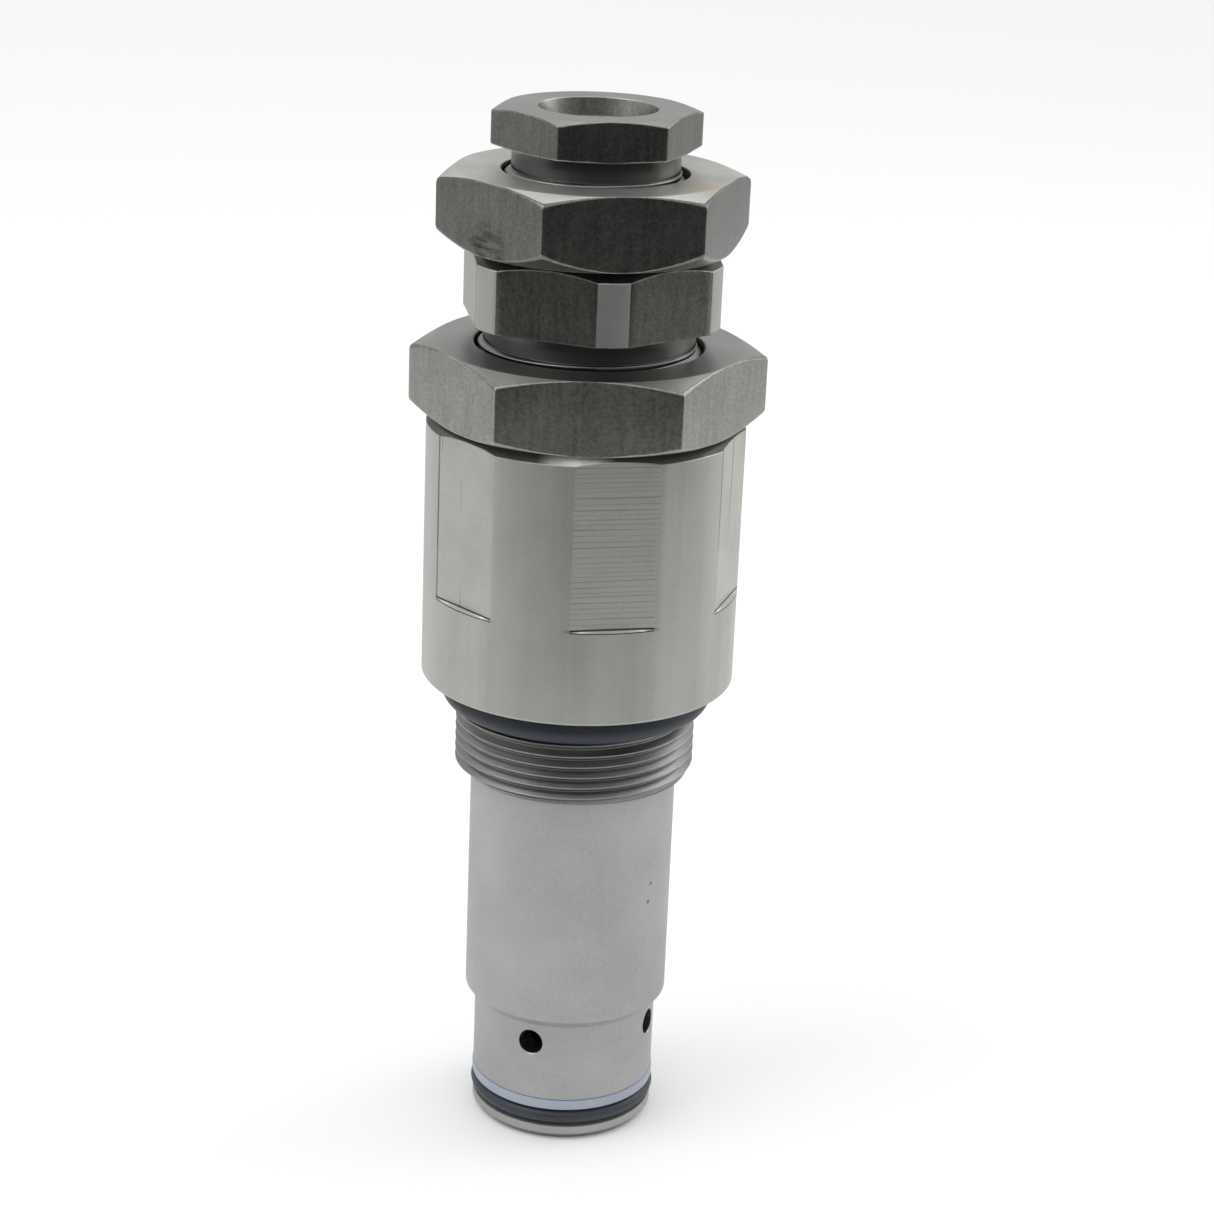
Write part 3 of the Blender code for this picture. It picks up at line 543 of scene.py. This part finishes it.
def rubber(name, shade):
    """Moulded nitrile: nearly black, dusty, with an oily sheen. A lower shade paints the rubber darker and
    its sheen duller, as painted shade.
    """
    finish = Finish(name)
    dust = finish.noise(finish.place, 300.0, 4.0, 0.6)
    grain = finish.noise(finish.place, 4000.0, 2.0)
    colour = finish.blend(dust, grey(0.022 * shade, -0.27), grey(0.047 * shade, -0.27))
    bump = finish.relief(0.2, grain)
    finish.set(colour=colour, rough=finish.remap(dust, 0.3, 0.7, 0.38, 0.55), normal=bump)
    finish.shader.inputs["Specular IOR Level"].default_value = 0.5 * shade
    return finish.material


def ptfe(name):
    """The back-up ring's waxy, bluish white plastic."""
    finish = Finish(name)
    cloud = finish.noise(finish.place, 250.0, 3.0)
    grain = finish.noise(finish.round_axis(2000, 2000, 1.0), 1.0, 2.0)
    colour = finish.blend(cloud, (0.26, 0.30, 0.37, 1.0), (0.34, 0.38, 0.44, 1.0))
    bump = finish.relief(0.15, grain)
    finish.set(colour=colour, rough=0.4, normal=bump)
    finish.shader.inputs["Subsurface Weight"].default_value = 0.15
    finish.shader.inputs["Subsurface Radius"].default_value = (0.001, 0.001, 0.001)
    return finish.material


def brass(name):
    finish = Finish(name)
    cloud = finish.noise(finish.place, 400.0, 3.0)
    rings = finish.noise(finish.round_axis(2600, 2600, 0.5), 1.0, 2.0)
    colour = finish.blend(cloud, (0.55, 0.38, 0.14, 1.0), (0.78, 0.58, 0.26, 1.0))
    bump = finish.relief(0.3, rings)
    finish.set(colour=colour, metal=1.0, rough=finish.remap(cloud, 0.3, 0.7, 0.28, 0.42), normal=bump)
    return finish.material


STAIN = (on_side(-48, 17.0, top_of("plug_lock_nut")), 4 * MM, (0.60, 0.54, 0.42, 1.0))
SMUDGE = (on_side(-150, 18.6, foot_of("plug_lock_nut") + 0.6), 4.5 * MM)
# A painted highlight: a pale patch on the front of the body's top chamfer, where it would catch the light
# from above.
PAINTED_CHAMFER_HIGHLIGHT = (on_side(-105, 20.2, top_of("valve_body") - 0.4), 5 * MM, (0.85, 0.84, 0.76, 1.0))

TURNED = turned_steel("turned_steel", 0.42, 0.015, 0.34, 0.25, wear=0.7)
# Painted light: a lighter copy of the turned steel for the plug lock nut's faces, which catch the light
# from above, and for the top of the body's ledge, which faces up. It also holds a real stain on the nut's
# top face.
PAINTED_LIGHT_AND_STAIN_FACE = turned_steel("faced_steel_painted_light_and_stain", 0.60, 0.03, 0.36, 0.25, wear=0.5, metal=0.82, stain_and_highlight=STAIN)
CORNER_STEEL = turned_steel("corner_steel", 0.42, 0.03, 0.36, 0.15, wear=0.5, metal=0.86)
# Painted shade: a very dark copy of the turned steel. It covers the necks under the plug's and adjuster's
# hexagons, the adjuster's top face and chamfer under the plug lock nut, the adjuster hexagon's underside,
# and a ledge in the plug's port mouth.
PAINTED_SHADE_STEEL = turned_steel("shaded_steel", 0.11, 0.02, 0.22, 0.25)
# Painted shade: dark steel for the body's top face and chamfer, which lie in shadow under the adjuster lock
# nut. It carries the painted highlight above.
CHAMFER_STEEL = turned_steel("chamfer_steel_painted_shade_and_highlight", 0.12, 0.02, 0.34, 0.2, metal=0.6, stain_and_highlight=PAINTED_CHAMFER_HIGHLIGHT)
# Very dark, warm steel for the nuts' bores and countersinks.
DARK_BORE_STEEL = turned_steel("dark_warm_bore_steel", 0.07, 0.3, 0.5, 0.3)
BODY_STEEL = banded_steel("body_steel", 0.40, 0.42)
PORT_STEEL = drawn_steel("port_steel", 0.24, 0.34)
THREAD_STEEL = turned_steel("thread_steel", 0.30, 0.01, 0.36, 0.3, wear=0.7)
DARK_FLATS = drawn_steel("dark_drawn_steel", 0.17, 0.30, SMUDGE)
GREY_FLATS = drawn_steel("grey_drawn_steel", 0.26, 0.32)
MILLED = milled_steel("milled_steel", 0.43, 0.42)
# Painted shadow: nearly black steel for the thin bands just above and just below the ledge under the body's
# flats.
LEDGE_PAINTED_SHADOW = turned_steel("ledge_painted_shadow_steel", 0.08, 0.0, 0.5, 0.2)
GROUND = pitted_steel("ground_steel", 0.38, 0.5)
HARDENED = turned_steel("hardened_steel", 0.32, 0.0, 0.28, 0.2)
SPRING_STEEL = drawn_steel("spring_steel", 0.22, 0.35)
RUBBER = rubber("nitrile_rubber", 1.0)
# Painted shade: a darker copy of the rubber for the body's O-ring, under the mounting shoulder.
SHADED_RUBBER = rubber("painted_shade_rubber", 0.75)
PTFE = ptfe("ptfe")
BRASS = brass("brass")


# ---- the pieces in view ------------------------------------------------------------------------------


def lock_nut(node, across_flats, clock, bore, slopes, finishes, wear_seed):
    """A hexagon nut, chamfered on both faces and lightly countersunk at both ends of its thread."""
    foot, top = foot_of(node), top_of(node)
    corner_break = 0.05
    bar = Hexagon(across_flats, clock, across_flats / math.sqrt(3) - corner_break)
    face_r, sink = across_flats / 2 - 0.04, 0.25
    top_slope, foot_slope = slopes

    def section(angle):
        side = bar.radius(angle)
        wear = wear_at(angle, wear_seed) + 0.4 * (side - face_r) / (bar.corner_radius - face_r)
        return [
            (bore + sink, top, 0, ROUNDING),
            (face_r, top, 0, ROUNDING),
            (side, top - (side - face_r) * top_slope, 1, wear),
            (side, foot + (side - face_r) * foot_slope, 1, wear),
            (face_r, foot, 0, ROUNDING),
            (bore + sink, foot, 2, ROUNDING),
            (bore, foot + sink, 2, ROUNDING),
            (bore, top - sink, 2, ROUNDING),
        ]

    piece = skin(node + "_fine", section, finishes, columns(bar.key_angles()))
    weigh_normals(piece)
    return stand_for(piece, node)


def boost_plug():
    """The top plug, with its conical port mouth, tapped port and M24 thread."""
    node = "boost_plug"
    foot, top = foot_of(node), top_of(node)
    hex_foot, neck_r, neck_foot = top - 5.1, 10.95, top - 8.0
    thread_r, thread_head, thread_foot = 11.95, top - 8.8, top - 25.9
    seal_r, groove_r, groove_top, groove_foot = 10.5, 8.7, foot + 3.5, foot + 1.1
    port_mouth_r, port_cone, port_r, port_floor = 7.82, 2.5, 5.9, top - 14.9
    oil_way_r, corner_break, edge_break = 1.5, 0.1, 0.5
    port_pitch, port_depth = 1.337, 0.6
    cone_foot_r = port_mouth_r - port_cone * math.tan(math.radians(15))
    bar = Hexagon(PLUG_HEX, PLUG_CLOCK, PLUG_HEX / math.sqrt(3) - corner_break)
    face_r, top_slope, foot_slope = PLUG_HEX / 2 - 0.04, 0.33, 0.12

    def male(height, depth):
        from_end = max(0.0, height - thread_head) + max(0.0, thread_foot - height)
        return max(seal_r, min(thread_r - depth * THREAD_DEPTH, thread_r - from_end))

    def female(_, depth):
        return port_r + (1 - depth) * port_depth

    def section(angle):
        side = bar.radius(angle)
        wear = wear_at(angle, 1.0)
        # Finish 3 is painted shade: down the neck, and on the ledge in the port mouth.
        outside = [
            (port_mouth_r, top, 0, ROUNDING),
            (face_r, top, 0, ROUNDING),
            (side, top - (side - face_r) * top_slope, 1, wear),
            (side, hex_foot + (side - face_r) * foot_slope, 0, wear),
            (face_r, hex_foot, 0, ROUNDING),
            (neck_r, hex_foot, 3, 0.3),
            (neck_r, neck_foot, 3, ROUNDING),
        ]
        thread = thread_rows(angle, thread_foot - RUN_OUT, thread_head + RUN_OUT, male, 2)
        below = [
            (seal_r, thread_foot - RUN_OUT, 0, ROUNDING),
            (seal_r, groove_top, 0, ROUNDING),
            (groove_r, groove_top, 0, ROUNDING),
            (groove_r, groove_foot, 0, ROUNDING),
            (seal_r, groove_foot, 0, ROUNDING),
            (seal_r, foot + edge_break, 0, ROUNDING),
            (seal_r - edge_break, foot, 0, ROUNDING),
            (oil_way_r, foot, 0, ROUNDING),
            (oil_way_r, port_floor - 2.5, 0, ROUNDING),
            (port_r, port_floor, 0, ROUNDING),
        ]
        port_ends = port_floor + 1.0, top - port_cone - RUN_OUT
        port = thread_rows(angle, *port_ends, female, 2, port_pitch)[::-1]
        mouth = [
            (port_r + port_depth, top - port_cone, 3, 0),
            (cone_foot_r, top - port_cone, 4, ROUNDING),
        ]
        return outside + thread + below + port + mouth

    finishes = [TURNED, DARK_FLATS, THREAD_STEEL, PAINTED_SHADE_STEEL, PORT_STEEL]
    piece = skin(node + "_fine", section, finishes, columns(bar.key_angles()))
    weigh_normals(piece)
    return stand_for(piece, node)


def pressure_adjuster():
    """The hollow adjuster: turned-down hexagon, neck, M30 thread, and the seal land below."""
    node = "pressure_adjuster"
    foot, top = foot_of(node), top_of(node)
    hex_foot, neck_r, neck_foot = top - 9.7, 14.0, top - 12.75
    thread_r, thread_head, thread_foot = 14.95, neck_foot - 0.9, foot + 12.2
    seal_r, groove_r, groove_foot, groove_top = 12.9, 11.0, foot + 2.1, foot + 4.8
    spring_bore_r, piston_ledge, piston_bore_r, piston_bore_top = 7.0, foot + 12.1, 8.1, foot + 20.2
    plug_seal_r, plug_seal_top, plug_thread_r, sink = 10.6, foot + 29.8, 12.1, 0.7
    foot_chamfer, lead_in = 0.6, 0.8
    face_r, top_slope = 14.9, 0.56
    bar = Hexagon(ADJUSTER_HEX, ADJUSTER_CLOCK, radius_of(node))

    def male(height, depth):
        from_end = max(0.0, height - thread_head) + max(0.0, thread_foot - height)
        return max(neck_r, min(thread_r - depth * THREAD_DEPTH, thread_r - from_end))

    def section(angle):
        side = bar.radius(angle)
        wear = wear_at(angle, 3.0)
        flank = 1 if bar.on_flat(angle + FLAT_SIDE) else 4
        # Finish 3 is painted shade: the top face and chamfer under the plug lock nut, the hexagon's
        # underside and the neck.
        outside = [
            (plug_thread_r + sink, top, 3, ROUNDING),
            (face_r, top, 3, ROUNDING),
            (side, top - (side - face_r) * top_slope, flank, wear),
            (side, hex_foot, 3, wear),
            (neck_r, hex_foot, 3, 0.3),
            (neck_r, neck_foot, 3, ROUNDING),
        ]
        thread = thread_rows(angle, thread_foot - RUN_OUT, thread_head + RUN_OUT, male, 2)
        below = [
            (neck_r, thread_foot - RUN_OUT, 0, ROUNDING),
            (seal_r, thread_foot - RUN_OUT, 0, ROUNDING),
            (seal_r, groove_top, 0, ROUNDING),
            (groove_r, groove_top, 0, ROUNDING),
            (groove_r, groove_foot, 0, ROUNDING),
            (seal_r, groove_foot, 0, ROUNDING),
            (seal_r, foot + foot_chamfer, 0, ROUNDING),
            (seal_r - foot_chamfer, foot, 0, ROUNDING),
            (spring_bore_r, foot, 0, ROUNDING),
            (spring_bore_r, piston_ledge, 0, ROUNDING),
            (piston_bore_r, piston_ledge, 0, ROUNDING),
            (piston_bore_r, piston_bore_top, 0, ROUNDING),
            (plug_seal_r, piston_bore_top, 0, ROUNDING),
            (plug_seal_r, plug_seal_top, 0, ROUNDING),
            (plug_thread_r, plug_seal_top + lead_in, 0, ROUNDING),
            (plug_thread_r, top - sink, 0, ROUNDING),
        ]
        return outside + thread + below

    finishes = [TURNED, DARK_FLATS, THREAD_STEEL, PAINTED_SHADE_STEEL, CORNER_STEEL]
    piece = skin(node + "_fine", section, finishes, columns(bar.key_angles()))
    weigh_normals(piece)
    return stand_for(piece, node)


def valve_body():
    """The housing: six milled flats with a ledge below them, mounting shoulder, undercut and M33 thread."""
    node = "valve_body"
    foot, top, body_r = foot_of(node), top_of(node), radius_of(node)
    flats = Hexagon(BODY_HEX, 0.0, body_r)
    face_r, top_slope = 19.5, 0.57
    ledge, ledge_fall, line_width = top - 23.1, 0.1, 0.25
    shoulder, edge_break, recess_r, recess = top - 36.1, 0.3, 18.7, 0.3
    undercut_r, undercut_foot = 14.7, foot + 8.45
    thread_r, thread_run_out, foot_chamfer = 16.4, 0.9, 0.7
    spigot_bore_r, seat_bore_r, seat_ledge = 11.05, 10.0, top - 32.0
    chamber_r, seal_bore_foot, seal_bore_r, seal_bore_top = 7.2, top - 22.1, 13.0, top - 10.7
    adjuster_thread_r, sink = 15.1, 0.9

    def male(height, depth):
        below_shoulder = thread_r - max(0.0, height - undercut_foot) * 2
        above_foot = thread_r - foot_chamfer + height - foot
        return max(undercut_r, min(thread_r - depth * THREAD_DEPTH, below_shoulder, above_foot))

    def section(angle):
        side = flats.radius(angle)
        flank, dark_line, shelf = (1, 3, 4) if flats.on_flat(angle + FLAT_SIDE) else (0, 0, 0)
        outside = [
            # Finish 5 paints shade on the top face and chamfer under the adjuster lock nut, with a painted
            # highlight on the chamfer's front.
            (adjuster_thread_r + sink, top, 5, ROUNDING),
            (face_r, top, 5, ROUNDING),
            (side, top - (side - face_r) * top_slope, flank, wear_at(angle, 5.0, 0.08)),
            # On the flats, the thin bands just above and just below the ledge (finish 3) are painted
            # shadow, and the ledge's top (finish 4) is painted light.
            (side, ledge + line_width, dark_line, 0),
            (side, ledge, shelf, 0),
            (body_r, ledge - ledge_fall, dark_line, 0),
            (body_r, ledge - ledge_fall - 0.6 * line_width, 0, 0),
            (body_r, shoulder + edge_break, 0, ROUNDING),
            (body_r - edge_break, shoulder, 0, ROUNDING),
            (recess_r, shoulder, 0, ROUNDING),
            (recess_r, shoulder + recess, 0, 0.05),
            (undercut_r, shoulder + recess, 0, 0.3),
            (undercut_r, undercut_foot + thread_run_out, 0, ROUNDING),
        ]
        thread = thread_rows(angle, foot, undercut_foot + thread_run_out - 0.05, male, 2)
        inside = [
            (spigot_bore_r, foot, 0, ROUNDING),
            (spigot_bore_r, undercut_foot + 0.2, 0, ROUNDING),
            (seat_bore_r, undercut_foot + 1.0, 0, ROUNDING),
            (seat_bore_r, seat_ledge, 0, ROUNDING),
            (chamber_r, seat_ledge, 0, ROUNDING),
            (chamber_r, seal_bore_foot, 0, ROUNDING),
            (seal_bore_r, seal_bore_foot, 0, ROUNDING),
            (seal_bore_r, seal_bore_top, 0, ROUNDING),
            (adjuster_thread_r, seal_bore_top + 0.6, 0, ROUNDING),
            (adjuster_thread_r, top - sink, 0, ROUNDING),
        ]
        return outside + thread + inside

    finishes = [BODY_STEEL, MILLED, THREAD_STEEL, LEDGE_PAINTED_SHADOW, PAINTED_LIGHT_AND_STAIN_FACE, CHAMFER_STEEL]
    piece = skin(node + "_fine", section, finishes, columns(flats.key_angles()))
    weigh_normals(piece)
    return stand_for(piece, node)


def drill_bit(radius, tip, mouth, edge_break):
    """A drill along +Z that flares at its mouth, to break the edge of the hole it makes."""
    bm = bmesh.new()
    sides = 48
    flare = (radius + 2 * edge_break, mouth + edge_break)
    rings = []
    for ring_r, height in ((radius, tip), (radius, mouth - edge_break), flare):
        places = [on_side(360 * i / sides, ring_r, height) for i in range(sides)]
        rings.append([bm.verts.new(place) for place in places])
    for lower, upper in zip(rings, rings[1:]):
        for i in range(sides):
            after = (i + 1) % sides
            bm.faces.new((lower[i], lower[after], upper[after], upper[i]))
    bm.faces.new(rings[0][::-1])
    bm.faces.new(rings[-1])
    for face in bm.faces:
        face.material_index = 1
    mesh = bpy.data.meshes.new("drill")
    bm.to_mesh(mesh)
    bm.free()
    bit = bpy.data.objects.new("drill", mesh)
    bpy.context.scene.collection.objects.link(bit)
    return bit


def drill_across(piece, radius, height, angle, tip, mouth):
    """Drills one round hole square to the axis, from a mouth radius in to a tip radius."""
    bit = drill_bit(radius, tip, mouth, 0.15)
    outward = Matrix.Rotation(math.radians(angle), 4, "Z") @ Matrix.Rotation(math.pi / 2, 4, "Y")
    bit.matrix_world = Matrix.Translation((0, 0, height * MM)) @ outward
    cut = piece.modifiers.new("drill", "BOOLEAN")
    cut.object = bit
    depsgraph = bpy.context.evaluated_depsgraph_get()
    finished = bpy.data.meshes.new_from_object(piece.evaluated_get(depsgraph))
    piece.modifiers.clear()
    piece.data = finished
    bpy.data.objects.remove(bit)


def main_sleeve():
    """The ported sleeve: matte ground outside, cross holes, seal groove, inlet and main seat."""
    node = "main_sleeve"
    top = top_of(node)
    sleeve_r, nose_r, step = radius_of(node), 12.75, 17.7
    shoulder, spigot_r, guide_r = top - 8.45, 10.9, 8.5
    groove_r, groove_foot, groove_top = 10.9, 2.1, 6.3
    inlet_r, chamber_r, seat, seat_width = 6.5, 9.2, 9.2, 0.8
    edge_break, nose_chamfer = 0.5, 0.9
    corners = [
        (guide_r, top),
        (spigot_r - edge_break, top),
        (spigot_r, top - edge_break),
        (spigot_r, shoulder),
        (sleeve_r - 0.3, shoulder),
        (sleeve_r, shoulder - 0.3),
        (sleeve_r, step + sleeve_r - nose_r),
        (nose_r, step),
        (nose_r, groove_top),
        (groove_r, groove_top),
        (groove_r, groove_foot),
        (nose_r, groove_foot),
        (nose_r, nose_chamfer),
        (nose_r - nose_chamfer, 0.0),
        (inlet_r + edge_break, 0.0),
        (inlet_r, edge_break),
        (inlet_r, seat),
        (inlet_r + seat_width, seat + seat_width),
        (chamber_r, seat + seat_width),
        (chamber_r, step),
        (guide_r, step + chamber_r - guide_r),
    ]

    def section(_):
        return [(r, z, int(z <= nose_chamfer or r < groove_r), ROUNDING) for r, z in corners]

    piece = skin(node + "_fine", section, [GROUND, THREAD_STEEL])
    hole_r, hole_level = 1.75, 14.85
    for side in range(4):
        drill_across(piece, hole_r, hole_level, HOLE_CLOCK - 90 + 90 * side, chamber_r / 2, nose_r)
    weigh_normals(piece)
    return stand_for(piece, node)


def oring(node, material):
    """A round-section seal with a faint moulding line round its outside."""
    low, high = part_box(node)
    cord = (high.z - low.z) / 2 / MM
    centre_r, centre_z = radius_of(node) - cord, (low.z + high.z) / 2 / MM
    sides, flash = 32, 0.03

    def section(_):
        found = []
        for i in range(sides):
            turn = TURN * i / sides
            bulge = cord + (flash if i == 0 else 0.0)
            found.append((centre_r + bulge * math.cos(turn), centre_z + bulge * math.sin(turn), 0, 0))
        return found

    return stand_for(skin(node + "_fine", section, [material]), node)


def nose_backup_ring():
    node = "nose_backup_ring"
    foot, top, outer, inner = foot_of(node), top_of(node), radius_of(node), 11.05
    corners = [(inner, top), (outer, top), (outer, foot), (inner, foot)]
    piece = skin(node + "_fine", lambda _: [(r, z, 0, 0.2) for r, z in corners], [PTFE])
    weigh_normals(piece)
    return stand_for(piece, node)


# ---- the pieces inside -------------------------------------------------------------------------------


def finish_of(node):
    """The material for a piece inside the valve, from the slot its CAD node takes."""
    finishes = {
        "hardened_steel": HARDENED,
        "spring_steel": SPRING_STEEL,
        "ptfe": PTFE,
        "brass": BRASS,
    }
    return finishes[slot_of(node)]


def slot_of(node):
    return next(part["material_slot"] for part in frame["record"]["subparts"] if part["node"] == node)


def coil_centre(mean_r, wire_r, foot, top, coils):
    """The path of a compression spring's wire, with one closed coil at each end."""
    live = coils - 2.0
    closed_pitch = 2.05 * wire_r
    live_pitch = (top - foot - 2 * wire_r - 2 * closed_pitch) / live

    def centre_at(turns):
        closed = min(turns, 1.0) + max(turns - 1.0 - live, 0.0)
        height = foot + wire_r + closed * closed_pitch + min(max(turns - 1.0, 0.0), live) * live_pitch
        return on_side(360 * turns, mean_r, height)

    return centre_at


def main_spring():
    """The light spring, one swept wire with a mesh of its own."""
    node = "main_spring"
    foot, top, wire_r, coils, lift = foot_of(node), top_of(node), 0.65, 8.5, 3.3
    centre_at = coil_centre(radius_of(node) - wire_r, wire_r, foot, top, coils)
    spring = wire(node + "_fine", centre_at, 0.0, coils, wire_r, SPRING_STEEL)
    stand_for(spring, node)
    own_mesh(spring)


def pilot_spring():
    """The stiff spring in three lengths: the lowest on the housing body, the middle one on no body, the
    highest on the adjuster_seal body.
    """
    node = "pilot_spring"
    foot, top, wire_r, coils = foot_of(node), top_of(node), 1.15, 5.5
    centre_at = coil_centre(radius_of(node) - wire_r, wire_r, foot, top, coils)
    lower_cut, upper_cut = 1.75, 3.25
    lower = wire(node + "_lower", centre_at, 0.0, lower_cut, wire_r, SPRING_STEEL)
    middle = wire(node + "_middle", centre_at, lower_cut, upper_cut, wire_r, SPRING_STEEL)
    upper = wire(node + "_upper", centre_at, upper_cut, coils, wire_r, SPRING_STEEL)
    for length in (lower, middle, upper):
        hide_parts(node)
    low = centre_at(lower_cut).z - wire_r * MM
    high = centre_at(upper_cut).z + wire_r * MM
    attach(lower, "housing")
    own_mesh(lower)
    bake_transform(middle)
    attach(upper, "adjuster_seal")
    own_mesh(upper)


def filter_snap_ring():
    node = "filter_snap_ring"
    low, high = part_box(node)
    wire_r = (high.z - low.z) / 2 / MM
    height, share = (low.z + high.z) / 2 / MM, 0.9
    ring_r = radius_of(node) - wire_r

    def centre_at(turns):
        return on_side(360 * turns, ring_r, height)

    ring = wire(node + "_fine", centre_at, 0.0, share, wire_r, SPRING_STEEL)
    stand_for(ring, node)


def profile_of(node):
    """The outline of a turned CAD node in the half-plane of +X, and whether it closes clear of the axis."""
    mesh = frame["nodes"][node].data
    tiny = 1e-3 * MM
    links = {}
    for edge in mesh.edges:
        ends = [mesh.vertices[i].co for i in edge.vertices]
        if any(abs(end.y) > tiny or end.x < -tiny for end in ends):
            continue
        first, last = [(round(abs(end.x) / MM, 3), round(end.z / MM, 3)) for end in ends]
        if first != last and not first[0] == last[0] == 0:
            links.setdefault(first, set()).add(last)
            links.setdefault(last, set()).add(first)
    ends = [point for point, others in links.items() if len(others) == 1]
    path = [max(ends or links, key=lambda point: point[1])]
    while following := [point for point in links[path[-1]] if point not in path]:
        path.append(following[0])
    if ends:
        path = [(0.0, path[0][1])] + path + [(0.0, path[-1][1])]
    return path, not ends


def turned_piece(node, rounding):
    """A turned piece again, finer than its CAD node and with its edges broken."""
    corners, closed = profile_of(node)

    def section(_):
        return [(r, z, 0, rounding) for r, z in corners]

    piece = skin(node + "_fine", section, [finish_of(node)], closed=closed)
    weigh_normals(piece)
    stand_for(piece, node)


def dress_inner_nodes():
    """Gives the CAD pieces that are still shown their materials."""
    for name, node in frame["nodes"].items():
        if not node.hide_render:
            node.data.materials.clear()
            node.data.materials.append(finish_of(name))


# ---- stage, light and camera -------------------------------------------------------------------------


def stage_floor():
    """A plain pale floor. Seen in the steel, it darkens in front of the valve, past a lit table's edge."""
    bpy.ops.mesh.primitive_circle_add(vertices=64, radius=6.0, fill_type="NGON", location=(0, 0, 0))
    floor = bpy.context.object
    floor.name = "floor"
    finish = Finish("floor")
    x, y, _ = finish.parts(finish.place)
    to_left = finish.remap(x, -0.2, -0.1, 0.12, 0.0)
    to_right = finish.remap(x, 0.2, 0.3, 0.0, 0.08)
    depth = finish.math("SUBTRACT", finish.math("SUBTRACT", y, to_left), to_right)
    front = finish.add(
        "ShaderNodeMapRange",
        {"Value": depth, "From Min": -0.38, "From Max": -0.08, "To Min": 0.02, "To Max": 0.85},
        interpolation_type="SMOOTHSTEP",
    )
    side = finish.remap(finish.math("ABSOLUTE", x), 0.2, 0.6, 1.0, 0.6)
    level = finish.math("MULTIPLY", front, side)
    seen = finish.add("ShaderNodeLightPath", output="Is Glossy Ray")
    finish.set(colour=finish.blend(seen, grey(0.92), finish.even(level)), rough=0.9)
    floor.data.materials.append(finish.material)


def world_light():
    """A white studio. In reflections it is brightest overhead, dimmer behind and dark at the front."""
    world = bpy.data.worlds.new("studio")
    bpy.context.scene.world = world
    world.use_nodes = True
    background = world.node_tree.nodes["Background"]
    sky = Nodes(world.node_tree)
    direction = sky.add("ShaderNodeTexCoord", output="Generated")
    _, y, z = sky.parts(direction)
    front = sky.remap(y, -0.95, -0.2, 0.03, 0.75)
    back = sky.remap(y, 0.3, 0.9, 1.0, 0.7)
    above = sky.remap(z, 0.3, 0.8, 0.0, 1.0)
    level = sky.math("MAXIMUM", sky.math("MULTIPLY", front, back), above)
    glossy = sky.add("ShaderNodeLightPath", output="Is Glossy Ray")
    sky.feed(background.inputs["Color"], sky.blend(glossy, grey(1.0), sky.even(level)))
    background.inputs["Strength"].default_value = 1.0


def soft_box(name, location, size, power):
    light = bpy.data.lights.new(name, "AREA")
    light.shape = "RECTANGLE"
    light.size, light.size_y = size
    light.energy = power
    box = bpy.data.objects.new(name, light)
    bpy.context.scene.collection.objects.link(box)
    box.location = location
    aim = Vector((0, 0, 0.08)) - Vector(location)
    box.rotation_euler = aim.to_track_quat("-Z", "Y").to_euler()


def place_camera():
    """The photograph's viewpoint: a short telephoto from just left of the front, looking down."""
    azimuth, distance, height = math.radians(-12.2), 0.35643, 0.20107
    heading, pitch, roll = math.radians(12.2 + 0.607), math.radians(19.455), math.radians(2.399)
    level_ahead = Vector((math.sin(heading), math.cos(heading), 0))
    forward = level_ahead * math.cos(pitch) - Vector((0, 0, math.sin(pitch)))
    level_right = Vector((math.cos(heading), -math.sin(heading), 0))
    level_up = level_right.cross(forward)
    right = level_right * math.cos(roll) + level_up * math.sin(roll)
    up = level_up * math.cos(roll) - level_right * math.sin(roll)
    data = bpy.data.cameras.new("camera")
    data.sensor_width = 36.0
    data.lens = 82.5
    data.clip_start = 0.01
    camera = bpy.data.objects.new("camera", data)
    bpy.context.scene.collection.objects.link(camera)
    axes = Matrix((right, up, -forward)).transposed().to_4x4()
    place = Vector((math.sin(azimuth) * distance, -math.cos(azimuth) * distance, height))
    camera.matrix_world = Matrix.Translation(place) @ axes
    bpy.context.scene.camera = camera


boost_plug()
lock_nut(
    "plug_lock_nut",
    PLUG_NUT_HEX,
    PLUG_NUT_CLOCK,
    bore=12.1,
    slopes=(0.4, 0.72),
    finishes=[PAINTED_LIGHT_AND_STAIN_FACE, DARK_FLATS, DARK_BORE_STEEL],
    wear_seed=2.0,
)
pressure_adjuster()
lock_nut(
    "adjuster_lock_nut",
    ADJUSTER_NUT_HEX,
    ADJUSTER_NUT_CLOCK,
    bore=15.1,
    slopes=(0.38, 0.36),
    finishes=[TURNED, GREY_FLATS, DARK_BORE_STEEL],
    wear_seed=4.0,
)
valve_body()
main_sleeve()
nose_backup_ring()
# The body's O-ring takes the darker rubber, which is painted shade.
for seal in frame["nodes"]:
    if seal.endswith("oring"):
        oring(seal, SHADED_RUBBER if seal == "body_oring" else RUBBER)
for turned in ("main_poppet", "pilot_poppet", "pilot_seat", "boost_piston", "spring_seat"):
    turned_piece(turned, ROUNDING)
turned_piece("pilot_seat_backup_ring", 0.2)
main_spring()
pilot_spring()
filter_snap_ring()
dress_inner_nodes()

stage_floor()
world_light()
soft_box("key_light", (-0.5, -0.1, 0.7), (0.5, 0.5), 1.5)
soft_box("fill_light", (0.6, 0.1, 0.4), (0.4, 0.6), 1.0)
place_camera()
bpy.context.scene.view_settings.view_transform = "Standard"
